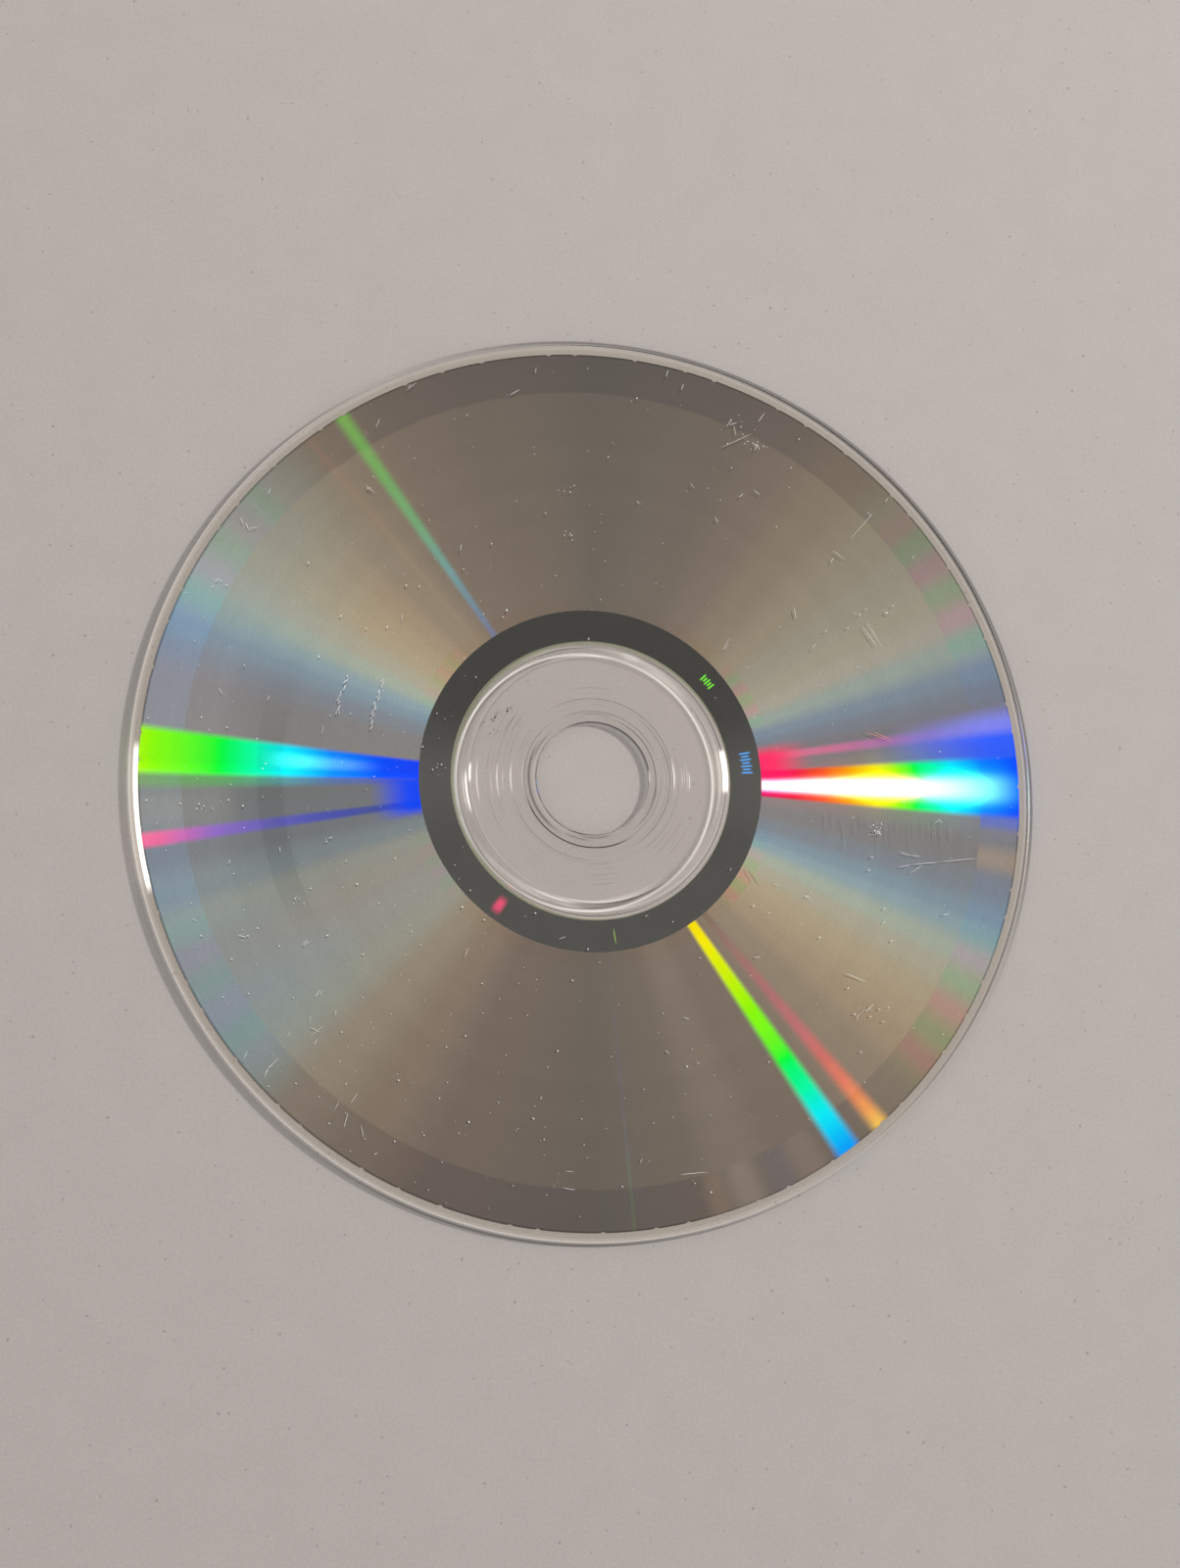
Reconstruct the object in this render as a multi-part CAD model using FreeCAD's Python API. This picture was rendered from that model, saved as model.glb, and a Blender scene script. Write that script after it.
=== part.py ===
import FreeCAD, Part
import math
import os

# A compact disc lying with its label side down and its data side up.
# Millimetres. The origin is on the axis, in the plane that the disc lies on, and +Z points to the data side.

# Whole disc
disc_radius = 60.0
hole_radius = 7.5

# Layers, from the label side up
lacquer_thickness = 0.03
film_thickness = 0.02
substrate_thickness = 1.15

# Edges of the clear moulding
hole_chamfer = 0.25
rim_round = 0.3

# Mould lines of the hub, counted outwards from the hole
gate_ring_offset = 0.95
gate_ring_width = 0.16
gate_ring_depth = 0.06
recess_offset = 0.65
recess_width = 1.7
recess_depth = 0.05

# Metal film
film_inner_radius = 18.7
film_rim_margin = 1.3
notch_count = 56
notch_width = 0.8
notch_depth = 0.22
notch_depth_spread = 0.3
notch_depth_beat = 1.7
notch_drift = 1.6
notch_drift_beat = 2.4

# Holder groove and stacking bead, counted inwards from the film
groove_gap = 0.55
groove_width = 0.4
groove_depth = 0.12
groove_draft = 0.05
bead_gap = 0.2
bead_width = 1.1
bead_height = 0.2

# Protective lacquer
lacquer_rim_margin = 0.6
lacquer_lap = 0.38
lacquer_runout = 0.28
lacquer_runout_angle = 320.0

# Levels and radii that follow from the sizes above
coat_thickness = lacquer_thickness + film_thickness
label_face = coat_thickness
data_face = label_face + substrate_thickness
film_outer_radius = disc_radius - film_rim_margin
lacquer_outer_radius = disc_radius - lacquer_rim_margin
lacquer_inner_radius = film_inner_radius - lacquer_lap
gate_ring_radius = hole_radius + gate_ring_offset
recess_inner = gate_ring_radius + recess_offset
recess_outer = recess_inner + recess_width
groove_outer = film_inner_radius - groove_gap
groove_inner = groove_outer - groove_width
bead_outer = groove_inner - bead_gap
bead_inner = bead_outer - bead_width
bead_radius = bead_outer - bead_width / 2

axis_foot = FreeCAD.Vector(0, 0, 0)
up = FreeCAD.Vector(0, 0, 1)


def at(radius, height):
    """A point of the half section."""
    return FreeCAD.Vector(radius, 0, height)


def around(radius, degrees, height):
    """A point on a circle about the disc's axis."""
    turn = math.radians(degrees)
    return FreeCAD.Vector(radius * math.cos(turn), radius * math.sin(turn), height)


def run(points):
    """Straight edges from each point to the next."""
    return [Part.LineSegment(a, b).toShape() for a, b in zip(points, points[1:])]


def round_corner(centre, start, end, radius):
    """A quarter of a circle of the half section from start to end, about its centre."""
    half_way = (start + end) * 0.5 - centre
    half_way.normalize()
    return [Part.Arc(start, centre + half_way * radius, end).toShape()]


def substrate():
    """The clear moulding, turned from one half section."""
    rim_low = at(disc_radius - rim_round, label_face)
    rim_high = at(disc_radius - rim_round, data_face)
    wall_low = at(disc_radius, label_face + rim_round)
    wall_high = at(disc_radius, data_face - rim_round)

    label_side = run([
        at(hole_radius, data_face - hole_chamfer),
        at(hole_radius, label_face + hole_chamfer),
        at(hole_radius + hole_chamfer, label_face),
        at(groove_inner, label_face),
        at(groove_inner + groove_draft, label_face + groove_depth),
        at(groove_outer - groove_draft, label_face + groove_depth),
        at(groove_outer, label_face),
        rim_low,
    ])
    rim = (
        round_corner(at(disc_radius - rim_round, label_face + rim_round), rim_low, wall_low, rim_round)
        + run([wall_low, wall_high])
        + round_corner(at(disc_radius - rim_round, data_face - rim_round), wall_high, rim_high, rim_round)
    )
    bead = [
        Part.Arc(
            at(bead_outer, data_face),
            at(bead_radius, data_face + bead_height),
            at(bead_inner, data_face),
        ).toShape()
    ]
    hub = run([
        at(bead_inner, data_face),
        at(recess_outer, data_face),
        at(recess_outer - recess_depth, data_face - recess_depth),
        at(recess_inner + recess_depth, data_face - recess_depth),
        at(recess_inner, data_face),
        at(gate_ring_radius + gate_ring_width / 2, data_face),
        at(gate_ring_radius, data_face - gate_ring_depth),
        at(gate_ring_radius - gate_ring_width / 2, data_face),
        at(hole_radius + hole_chamfer, data_face),
        at(hole_radius, data_face - hole_chamfer),
    ])
    data_area = run([rim_high, at(bead_outer, data_face)])
    section = Part.Wire(label_side + rim + data_area + bead + hub)
    return Part.Face(section).revolve(axis_foot, up, 360)


def notch(number):
    """The middle angle and the depth of one notch, unevenly spread as on a sputtered edge."""
    place = number % notch_count
    middle = 360.0 * number / notch_count + notch_drift * math.sin(notch_drift_beat * place)
    depth = notch_depth * (1 - notch_depth_spread * math.sin(notch_depth_beat * place) ** 2)
    return middle, depth


def film_edge():
    """The film's outer edge, with small notches where clear plastic shows through."""
    half_turn = math.degrees(notch_width / 2 / film_outer_radius)
    edges = []
    for number in range(notch_count):
        middle, depth = notch(number)
        following = notch(number + 1)[0]
        start = around(film_outer_radius, middle - half_turn, lacquer_thickness)
        root = around(film_outer_radius - depth, middle, lacquer_thickness)
        end = around(film_outer_radius, middle + half_turn, lacquer_thickness)
        between = around(film_outer_radius, (middle + following) / 2, lacquer_thickness)
        last = around(film_outer_radius, following - half_turn, lacquer_thickness)
        edges += run([start, root, end])
        edges.append(Part.Arc(end, between, last).toShape())
    return Part.Wire(edges)


def reflective_layer():
    """The metal film under the moulding's label face."""
    disc = Part.Face(film_edge()).extrude(up * film_thickness)
    opening = Part.makeCylinder(film_inner_radius, film_thickness, up * lacquer_thickness, up)
    return disc.cut(opening)


def lacquer_coat(film):
    """The protective coat, which laps both edges of the film and fills its notches."""
    coat = Part.makeCylinder(lacquer_outer_radius, coat_thickness, axis_foot, up)
    opening_foot = around(lacquer_runout, lacquer_runout_angle, 0)
    opening = Part.makeCylinder(lacquer_inner_radius, coat_thickness, opening_foot, up)
    return coat.cut(opening).cut(film)


def main():
    os.makedirs("parts", exist_ok=True)
    film = reflective_layer()
    pieces = {
        "substrate": substrate(),
        "reflective_layer": film,
        "lacquer_coat": lacquer_coat(film),
    }
    for name, shape in pieces.items():
        shape.exportStep("parts/" + name + ".step")
        box = shape.optimalBoundingBox(False)
        print(name, shape.isValid(), len(shape.Solids), "solid", round(shape.Volume, 3), "mm3",
              [round(v, 3) for v in (box.XMin, box.XMax, box.YMin, box.YMax, box.ZMin, box.ZMax)])


main()
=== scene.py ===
"""Looks of a compact disc that lies data side up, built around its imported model."""

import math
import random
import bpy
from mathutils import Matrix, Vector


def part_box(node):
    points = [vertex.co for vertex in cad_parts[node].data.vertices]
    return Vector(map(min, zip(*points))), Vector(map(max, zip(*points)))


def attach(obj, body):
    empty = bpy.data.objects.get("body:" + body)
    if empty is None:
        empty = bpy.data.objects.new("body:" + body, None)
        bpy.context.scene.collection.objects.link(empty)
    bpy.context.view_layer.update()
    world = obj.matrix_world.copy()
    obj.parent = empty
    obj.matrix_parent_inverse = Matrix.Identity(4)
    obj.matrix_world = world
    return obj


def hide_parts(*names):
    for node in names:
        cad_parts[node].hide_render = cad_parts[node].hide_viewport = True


bl_info = {
    "name": "Compact Disc",
    "version": (1, 0, 0),
    "blender": (4, 5, 0),
    "location": "3D View > Sidebar > Compact Disc",
    "description": "Clear moulding, mirror film and lacquer of a compact disc, on a pale studio floor",
    "category": "Object",
}

import bpy
import numpy as np
from bpy.props import FloatProperty, FloatVectorProperty, IntProperty, PointerProperty
from mathutils import Matrix, Vector

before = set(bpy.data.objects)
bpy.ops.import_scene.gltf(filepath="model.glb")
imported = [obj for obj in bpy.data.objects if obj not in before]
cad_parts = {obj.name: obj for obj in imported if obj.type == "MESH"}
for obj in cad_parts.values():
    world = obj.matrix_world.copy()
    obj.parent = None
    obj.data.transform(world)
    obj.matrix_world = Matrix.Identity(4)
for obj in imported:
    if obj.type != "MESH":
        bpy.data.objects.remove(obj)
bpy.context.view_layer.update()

MM = 0.001
BODY = "root"

# The side that the soft lamp stands on, in degrees from +X towards +Y
LAMP_SIDE = 18.0

SUBSTRATE_LOW, SUBSTRATE_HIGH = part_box("substrate")
FILM_LOW, FILM_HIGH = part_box("reflective_layer")
COAT_LOW, COAT_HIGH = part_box("lacquer_coat")


def inner_radius(node):
    """The radius of a packed ring's opening."""
    return min(math.hypot(v.co.x, v.co.y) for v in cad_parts[node].data.vertices)


def size(name, millimetres, description):
    """A length property, given in millimetres."""
    return FloatProperty(
        name=name,
        description=description,
        default=millimetres * MM,
        subtype="DISTANCE",
        unit="LENGTH",
        precision=5,
    )


def finish(name, colour, description):
    """A colour property, given as display red, green and blue from 0 to 255."""
    return FloatVectorProperty(
        name=name,
        description=description,
        default=linear(colour)[:3],
        subtype="COLOR",
        size=3,
        min=0,
        max=1,
    )


def share(name, value, description, high=1.0):
    """A number property from 0 to its highest value."""
    return FloatProperty(name=name, description=description, default=value, min=0, max=high)


def amount(name, value, description):
    """A number property without limits, such as an angle in degrees."""
    return FloatProperty(name=name, description=description, default=value)


def tally(name, value, description, low):
    """A whole number property."""
    return IntProperty(name=name, description=description, default=value, min=low)


def linear(colour):
    """Scene-linear red, green, blue and alpha of a display colour from 0 to 255."""
    parts = [c / 255 for c in colour]
    return [c / 12.92 if c <= 0.04045 else ((c + 0.055) / 1.055) ** 2.4 for c in parts] + [1.0]


class DiscSizes(bpy.types.PropertyGroup):
    """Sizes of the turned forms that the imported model's box doesn't give."""

    hole_radius: size("Hole Radius", inner_radius("substrate") / MM, "Radius of the centre hole")
    hole_chamfer: size("Hole Chamfer", 0.25, "Width and height of the chamfers at the hole")
    rim_round: size("Rim Rounding", 0.3, "Radius of the rounded rim edges")
    gate_radius: size("Gate Ring", 8.45, "Radius of the fine groove next to the hole")
    gate_width: size("Gate Ring Width", 0.16, "Width of the fine groove")
    gate_depth: size("Gate Ring Depth", 0.06, "Depth of the fine groove")
    recess_inner: size("Recess Start", 9.1, "Inner radius of the shallow recess")
    recess_outer: size("Recess End", 10.8, "Outer radius of the shallow recess")
    recess_depth: size("Recess Depth", 0.05, "Depth of the shallow recess")
    bead_inner: size("Bead Start", 16.45, "Inner radius of the stacking bead")
    bead_outer: size("Bead End", 17.55, "Outer radius of the stacking bead")
    bead_height: size("Bead Height", 0.2, "Height of the stacking bead over the data face")
    bead_round: size("Bead Rounding", 0.35, "Radius of the bead's two shoulders")
    groove_inner: size("Groove Start", 17.75, "Inner radius of the holder groove in the label face")
    groove_outer: size("Groove End", 18.15, "Outer radius of the holder groove in the label face")
    groove_depth: size("Groove Depth", 0.12, "Depth of the holder groove")
    film_inner: size("Film Start", inner_radius("reflective_layer") / MM, "Inner radius of the metal film")
    notch_depth: size("Notch Depth", 0.22, "Depth of the small notches in the film's outer edge")
    notch_width: size("Notch Width", 0.8, "Width of the small notches")
    notch_drift: amount("Notch Drift", 1.6, "How unevenly the notches stand, in degrees")
    notches: tally("Notches", 56, "How many notches the film's edge has", 3)
    lap: size("Lacquer Lap", 0.38, "How far the lacquer reaches inside the film")
    lap_shift: size("Lacquer Shift", 0.28, "How far the lacquer's opening lies off the axis")
    lap_side: amount("Lacquer Shift Side", 320.0, "Side that the lacquer's opening lies to, in degrees")
    segments: tally("Segments", 720, "Steps round the turned forms", 64)


class DiscFinish(bpy.types.PropertyGroup):
    """Colours and strengths of the disc's finishes."""

    data_light: share("Film Brightness", 2.12, "How brightly the data zones reflect", 6)
    streak_light: share("Streak Strength", 1.0, "Strength of the rainbow streaks", 4)
    mirror: finish("Mirror Band", (99, 97, 94), "Colour of the plain mirror band inside the data")
    film_roughness: share("Film Roughness", 0.06, "Roughness of the data zones")
    mirror_roughness: share("Mirror Roughness", 0.04, "Roughness of the mirror band")
    plastic: finish("Clear Plastic", (255, 254, 250), "Tint of the clear moulding")
    lacquer: finish("Lacquer", (252, 251, 246), "Tint of the lacquer")
    lap_tint: finish("Lacquer Lap", (226, 236, 206), "Tint of the thick lacquer next to the film's opening")
    fleck: finish("Dust", (250, 248, 246), "Colour of the dust flecks")
    scuff: finish("Scuffs", (236, 233, 228), "Colour of the fine scratches")
    # The rose and green of these scratches are painted diffraction light
    rose_scuff: finish("Rose Scuffs", (240, 150, 120), "Colour of the scratches that glow rose")
    leaf_scuff: finish("Leaf Scuffs", (150, 206, 130), "Colour of the scratches that glow green")
    hair_scuff: finish("Hairlines", (158, 158, 156), "Colour of the faintest hairlines")
    dirt: finish("Dirt", (66, 54, 46), "Colour of the dirt specks")
    flecks: tally("Flecks", 420, "How many dust flecks lie on the data face", 0)


class StudioSettings(bpy.types.PropertyGroup):
    """Floor, light and camera."""

    floor: finish("Floor", (186, 178, 173), "Colour of the floor")
    fill: share("Fill Light", 0.5, "Strength of the even light from all round", 4)
    key_power: share("Key Light", 15.35, "Power of the soft lamp, in watts", 100)
    key_size: size("Key Size", 160, "Width of the soft lamp")
    key_distance: size("Key Distance", 1500, "Distance from the disc's middle to the soft lamp")
    key_azimuth: amount("Key Azimuth", LAMP_SIDE, "Side of the soft lamp, in degrees")
    key_elevation: amount("Key Elevation", 41.0, "Height of the soft lamp over the floor, in degrees")
    camera_distance: size("Camera Distance", 330.88, "Distance from the disc's middle to the camera")
    camera_tilt: amount("Camera Tilt", 15.092, "How far the camera leans off straight down, in degrees")
    camera_azimuth: amount("Camera Azimuth", -132.6, "Side that the camera leans to, in degrees")
    camera_lens: amount("Camera Lens", 57.766, "Focal length, in millimetres")


class Wiring:
    """Adds nodes to one node tree. Inputs are given as sockets or plain values."""

    def __init__(self, tree):
        self.tree = tree

    def feed(self, socket, value):
        """Links or sets one input."""
        if isinstance(value, bpy.types.NodeSocket):
            self.tree.links.new(value, socket)
        else:
            socket.default_value = value

    def add(self, kind, inputs=None, **settings):
        """One node, with its settings and named inputs."""
        node = self.tree.nodes.new(kind)
        for key, value in settings.items():
            setattr(node, key, value)
        for key, value in (inputs or {}).items():
            self.feed(node.inputs[key], value)
        return node

    def math(self, operation, *values, clamp=False):
        """The result of one Math node."""
        node = self.add("ShaderNodeMath", operation=operation, use_clamp=clamp)
        for socket, value in zip(node.inputs, values):
            self.feed(socket, value)
        return node.outputs[0]

    def vector(self, operation, *values):
        """The vector result of one Vector Math node."""
        node = self.add("ShaderNodeVectorMath", operation=operation)
        for socket, value in zip(node.inputs, values):
            self.feed(socket, value)
        return node.outputs["Vector"]

    def scale(self, vector, factor):
        """A vector or colour times a number."""
        node = self.add("ShaderNodeVectorMath", operation="SCALE")
        self.feed(node.inputs[0], vector)
        self.feed(node.inputs["Scale"], factor)
        return node.outputs["Vector"]

    def spread(self, value, low, high, to_low=0.0, to_high=1.0, smooth=False):
        """A value mapped from one range to another, held at its ends."""
        node = self.add("ShaderNodeMapRange", interpolation_type="SMOOTHSTEP" if smooth else "LINEAR")
        names = ("Value", "From Min", "From Max", "To Min", "To Max")
        for key, part in zip(names, (value, low, high, to_low, to_high)):
            self.feed(node.inputs[key], part)
        return node.outputs["Result"]

    def window(self, value, low, high, soft):
        """1 between two limits and 0 outside, with soft ends."""
        rise = self.spread(value, low - soft, low + soft, smooth=True)
        fall = self.spread(value, high - soft, high + soft, 1.0, 0.0, smooth=True)
        return self.math("MULTIPLY", rise, fall)

    def patch(self, distance, half, softness):
        """1 nearer than half a width and 0 beyond it, with an edge as soft as softness says."""
        near = self.math("SUBTRACT", 1.0, softness)
        far = self.math("ADD", 1.0, softness)
        return self.spread(self.math("DIVIDE", distance, half), near, far, 1.0, 0.0, smooth=True)

    def mix(self, factor, first, second, mode="MIX"):
        """Two colours mixed."""
        node = self.add("ShaderNodeMix", data_type="RGBA", blend_type=mode)
        for place, value in ((0, factor), (6, first), (7, second)):
            self.feed(node.inputs[place], value)
        return node.outputs[2]

    def ramp(self, value, stops, easing="LINEAR"):
        """A colour ramp through display colours."""
        node = self.add("ShaderNodeValToRGB", {"Fac": value})
        band = node.color_ramp
        band.interpolation = easing
        for _ in stops[2:]:
            band.elements.new(0.5)
        for element, (place, colour) in zip(band.elements, stops):
            element.position = place
            element.color = linear(colour)
        return node.outputs["Color"]

    def noise(self, place, scale, detail=2.0, dimensions="3D"):
        """A noise value from 0 to 1."""
        where = "W" if dimensions == "1D" else "Vector"
        given = {where: place, "Scale": scale, "Detail": detail}
        return self.add("ShaderNodeTexNoise", given, noise_dimensions=dimensions).outputs["Fac"]


def new_group(name, inputs, outputs):
    """A shader node group's wiring, its inputs by name and its output node."""
    tree = bpy.data.node_groups.new(name, "ShaderNodeTree")
    kinds = {"value": "NodeSocketFloat", "colour": "NodeSocketColor", "vector": "NodeSocketVector"}
    for label, kind, default in inputs:
        socket = tree.interface.new_socket(label, in_out="INPUT", socket_type=kinds[kind])
        socket.default_value = default
    for label, kind in outputs:
        tree.interface.new_socket(label, in_out="OUTPUT", socket_type=kinds[kind])
    wiring = Wiring(tree)
    given = wiring.add("NodeGroupInput").outputs
    return wiring, given, wiring.add("NodeGroupOutput").inputs


def use_group(wiring, name, inputs=None):
    """The outputs of a group placed in another tree with its own values."""
    return wiring.add("ShaderNodeGroup", inputs, node_tree=bpy.data.node_groups[name]).outputs


# Zones of the film, by radius in millimetres
BAND_END = 22.88
LEAD_IN_END = 24.85
PROGRAMME_END = 53.3
FILM_END = 58.7

# Rainbow colours along one axis, from deep red past green to blue, violet and pink
SPECTRUM_LOW = -0.2
SPECTRUM_HIGH = 1.6
SPECTRUM = [
    (-0.2, (176, 96, 150)),
    (-0.08, (240, 70, 110)),
    (0.0, (226, 0, 104)),
    (0.11, (232, 26, 56)),
    (0.2, (250, 84, 36)),
    (0.28, (255, 150, 0)),
    (0.38, (255, 240, 0)),
    (0.46, (140, 255, 0)),
    (0.54, (0, 255, 50)),
    (0.61, (0, 255, 165)),
    (0.67, (0, 240, 255)),
    (0.76, (0, 136, 255)),
    (0.86, (0, 76, 255)),
    (0.97, (30, 60, 250)),
    (1.1, (104, 92, 224)),
    (1.25, (150, 88, 220)),
    (1.4, (250, 72, 152)),
    (1.6, (255, 110, 128)),
]

# Half the depth of a streak's colour step, in millimetres
STEP_HALF = 2.6

# Painted diffraction colours of the data zone by the angle off the streaks' axis, in degrees
BAND_SPAN = 90.0
BANDS = [
    (0, (124, 122, 124)),
    (10, (123, 119, 124)),
    (13, (121, 126, 137)),
    (16, (124, 137, 151)),
    (20, (146, 157, 151)),
    (24, (161, 155, 143)),
    (28, (156, 149, 134)),
    (34, (148, 141, 128)),
    (40, (144, 135, 118)),
    (50, (134, 121, 106)),
    (60, (122, 110, 101)),
    (70, (113, 104, 96)),
    (90, (107, 100, 93)),
]
WARM_BANDS = [
    (0, (130, 127, 126)),
    (8, (129, 126, 127)),
    (12, (126, 132, 140)),
    (16, (129, 146, 158)),
    (18, (138, 157, 165)),
    (22, (160, 168, 155)),
    (25, (166, 162, 145)),
    (30, (168, 154, 130)),
    (34, (163, 148, 124)),
    (38, (157, 140, 118)),
    (43, (143, 129, 113)),
    (57, (121, 109, 99)),
    (72, (116, 105, 96)),
    (90, (107, 100, 93)),
]
NEAR_BANDS = [
    (0, (113, 114, 115)),
    (11, (113, 116, 121)),
    (16, (122, 130, 133)),
    (20, (140, 141, 133)),
    (26, (145, 140, 133)),
    (33, (143, 143, 138)),
    (40, (145, 144, 133)),
    (47, (143, 131, 116)),
    (57, (130, 116, 103)),
    (68, (115, 103, 95)),
    (90, (107, 99, 92)),
]


def polar_group():
    """Where a point of the disc lies: radius, turn and turn folded into one quarter."""
    w, _, out = new_group("Disc Polar", [], [("Radius", "value"), ("Angle", "value"), ("Fold", "value")])
    place = w.add("ShaderNodeTexCoord").outputs["Object"]
    part = w.add("ShaderNodeSeparateXYZ", {"Vector": place}).outputs
    across = w.math("MULTIPLY", part["X"], part["X"])
    radius = w.math("SQRT", w.math("MULTIPLY_ADD", part["Y"], part["Y"], across))
    turn = w.math("DEGREES", w.math("ARCTAN2", part["Y"], part["X"]))
    angle = w.math("FLOORED_MODULO", turn, 360.0)
    half = w.math("FLOORED_MODULO", turn, 180.0)
    fold = w.math("SUBTRACT", 90.0, w.math("ABSOLUTE", w.math("SUBTRACT", half, 90.0)))
    w.feed(out["Radius"], w.math("DIVIDE", radius, MM))
    w.feed(out["Angle"], angle)
    w.feed(out["Fold"], fold)


def arc_group():
    """A soft-edged patch between two radii and two angles, as a mask."""
    w, given, out = new_group(
        "Arc Mark",
        [
            ("Radius", "value", 0.0),
            ("Angle", "value", 0.0),
            ("Middle Radius", "value", 10.0),
            ("Half Depth", "value", 0.1),
            ("Depth Softness", "value", 0.5),
            ("Middle Angle", "value", 0.0),
            ("Half Angle", "value", 10.0),
            ("Angle Softness", "value", 0.5),
        ],
        [("Mask", "value")],
    )
    apart = w.math("ADD", w.math("SUBTRACT", given["Angle"], given["Middle Angle"]), 180.0)
    turn = w.math("ABSOLUTE", w.math("SUBTRACT", w.math("FLOORED_MODULO", apart, 360.0), 180.0))
    deep = w.math("ABSOLUTE", w.math("SUBTRACT", given["Radius"], given["Middle Radius"]))
    round_way = w.patch(turn, given["Half Angle"], given["Angle Softness"])
    out_way = w.patch(deep, given["Half Depth"], given["Depth Softness"])
    w.feed(out["Mask"], w.math("MULTIPLY", round_way, out_way))


def offset_group():
    """The radius about a point beside the axis."""
    w, given, out = new_group(
        "Offset Polar", [("Middle X", "value", 0.0), ("Middle Y", "value", 0.0)], [("Radius", "value")]
    )
    place = w.add("ShaderNodeTexCoord").outputs["Object"]
    part = w.add("ShaderNodeSeparateXYZ", {"Vector": w.scale(place, 1 / MM)}).outputs
    across = w.math("SUBTRACT", part["X"], given["Middle X"])
    along = w.math("SUBTRACT", part["Y"], given["Middle Y"])
    square = w.math("MULTIPLY_ADD", along, along, w.math("MULTIPLY", across, across))
    w.feed(out["Radius"], w.math("SQRT", square))


def streak_group():
    """One rainbow streak: a painted wedge of diffraction light whose colour runs through the spectrum
    outwards.
    """
    w, given, out = new_group(
        "Rainbow Streak",
        [
            ("Radius", "value", 0.0),
            ("Angle", "value", 0.0),
            ("Inner Angle", "value", 0.0),
            ("Outer Angle", "value", 0.0),
            ("Half Width", "value", 2.0),
            ("Softness", "value", 0.5),
            ("Inner Colour", "value", 0.0),
            ("Middle Colour", "value", 0.5),
            ("Outer Colour", "value", 1.0),
            ("Colour Turn", "value", 43.0),
            ("Colour Step", "value", 0.0),
            ("Inner Light", "value", 1.0),
            ("Outer Light", "value", 1.0),
            ("Core Light", "value", 0.0),
            ("Core Width", "value", 1.0),
            ("Core Shift", "value", 0.0),
            ("Core Middle", "value", 38.0),
            ("Core Reach", "value", 10.0),
            ("Core White", "value", 0.0),
            ("Cover", "value", 0.0),
        ],
        [("Color", "colour"), ("Cover", "value")],
    )
    radius = given["Radius"]
    along = w.spread(radius, BAND_END, FILM_END)

    def outward(first, last):
        """A value that changes evenly from the streak's inner end to its outer end."""
        return w.spread(along, 0.0, 1.0, given[first], given[last])

    middle = outward("Inner Angle", "Outer Angle")
    apart = w.math("SUBTRACT", given["Angle"], middle)
    off = w.math("SUBTRACT", w.math("FLOORED_MODULO", w.math("ADD", apart, 180.0), 360.0), 180.0)
    wedge = w.patch(w.math("ABSOLUTE", off), given["Half Width"], given["Softness"])
    light = w.math("MULTIPLY", wedge, outward("Inner Light", "Outer Light"))
    core_off = w.math("DIVIDE", w.math("SUBTRACT", off, given["Core Shift"]), given["Core Width"])
    core_off = w.math("POWER", w.math("ABSOLUTE", core_off), 3.0)
    core_away = w.math("DIVIDE", w.math("SUBTRACT", radius, given["Core Middle"]), given["Core Reach"])
    core_away = w.math("POWER", w.math("ABSOLUTE", core_away), 4.0)

    def bell(widening):
        """The core's light at a point, with its width times a number."""
        depth = w.math("MULTIPLY_ADD", core_off, -1.0 / widening**3, w.math("MULTIPLY", core_away, -1.0))
        return w.math("EXPONENT", depth)

    core = w.math("MULTIPLY", given["Core Light"], bell(1.3))
    turn = given["Colour Turn"]
    inner_hue = w.spread(radius, BAND_END, turn, given["Inner Colour"], given["Middle Colour"])
    outer_hue = w.spread(radius, turn, FILM_END, given["Middle Colour"], given["Outer Colour"])
    before = w.math("SUBTRACT", turn, STEP_HALF)
    after = w.math("ADD", turn, STEP_HALF)
    jump = w.spread(radius, before, after, 0.0, given["Colour Step"], smooth=True)
    hue = w.math("SUBTRACT", w.math("ADD", inner_hue, outer_hue), given["Middle Colour"])
    # The bright core turns the hue back a little
    hue = w.math("MULTIPLY_ADD", core, -0.0125, w.math("ADD", hue, jump))
    reach = SPECTRUM_HIGH - SPECTRUM_LOW
    stops = [((place - SPECTRUM_LOW) / reach, colour) for place, colour in SPECTRUM]
    rainbow = w.ramp(w.spread(hue, SPECTRUM_LOW, SPECTRUM_HIGH), stops)
    fall = w.spread(radius, 38.0, FILM_END, 1.0, 0.02)
    pale = w.math("MULTIPLY", w.math("MULTIPLY", given["Core White"], bell(1.0)), fall)
    white = w.add("ShaderNodeCombineXYZ", {"X": pale, "Y": pale, "Z": pale}).outputs["Vector"]
    lit = w.vector("ADD", w.scale(rainbow, w.math("ADD", core, light)), white)
    w.feed(out["Color"], lit)
    w.feed(out["Cover"], w.math("MULTIPLY", wedge, given["Cover"]))


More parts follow.
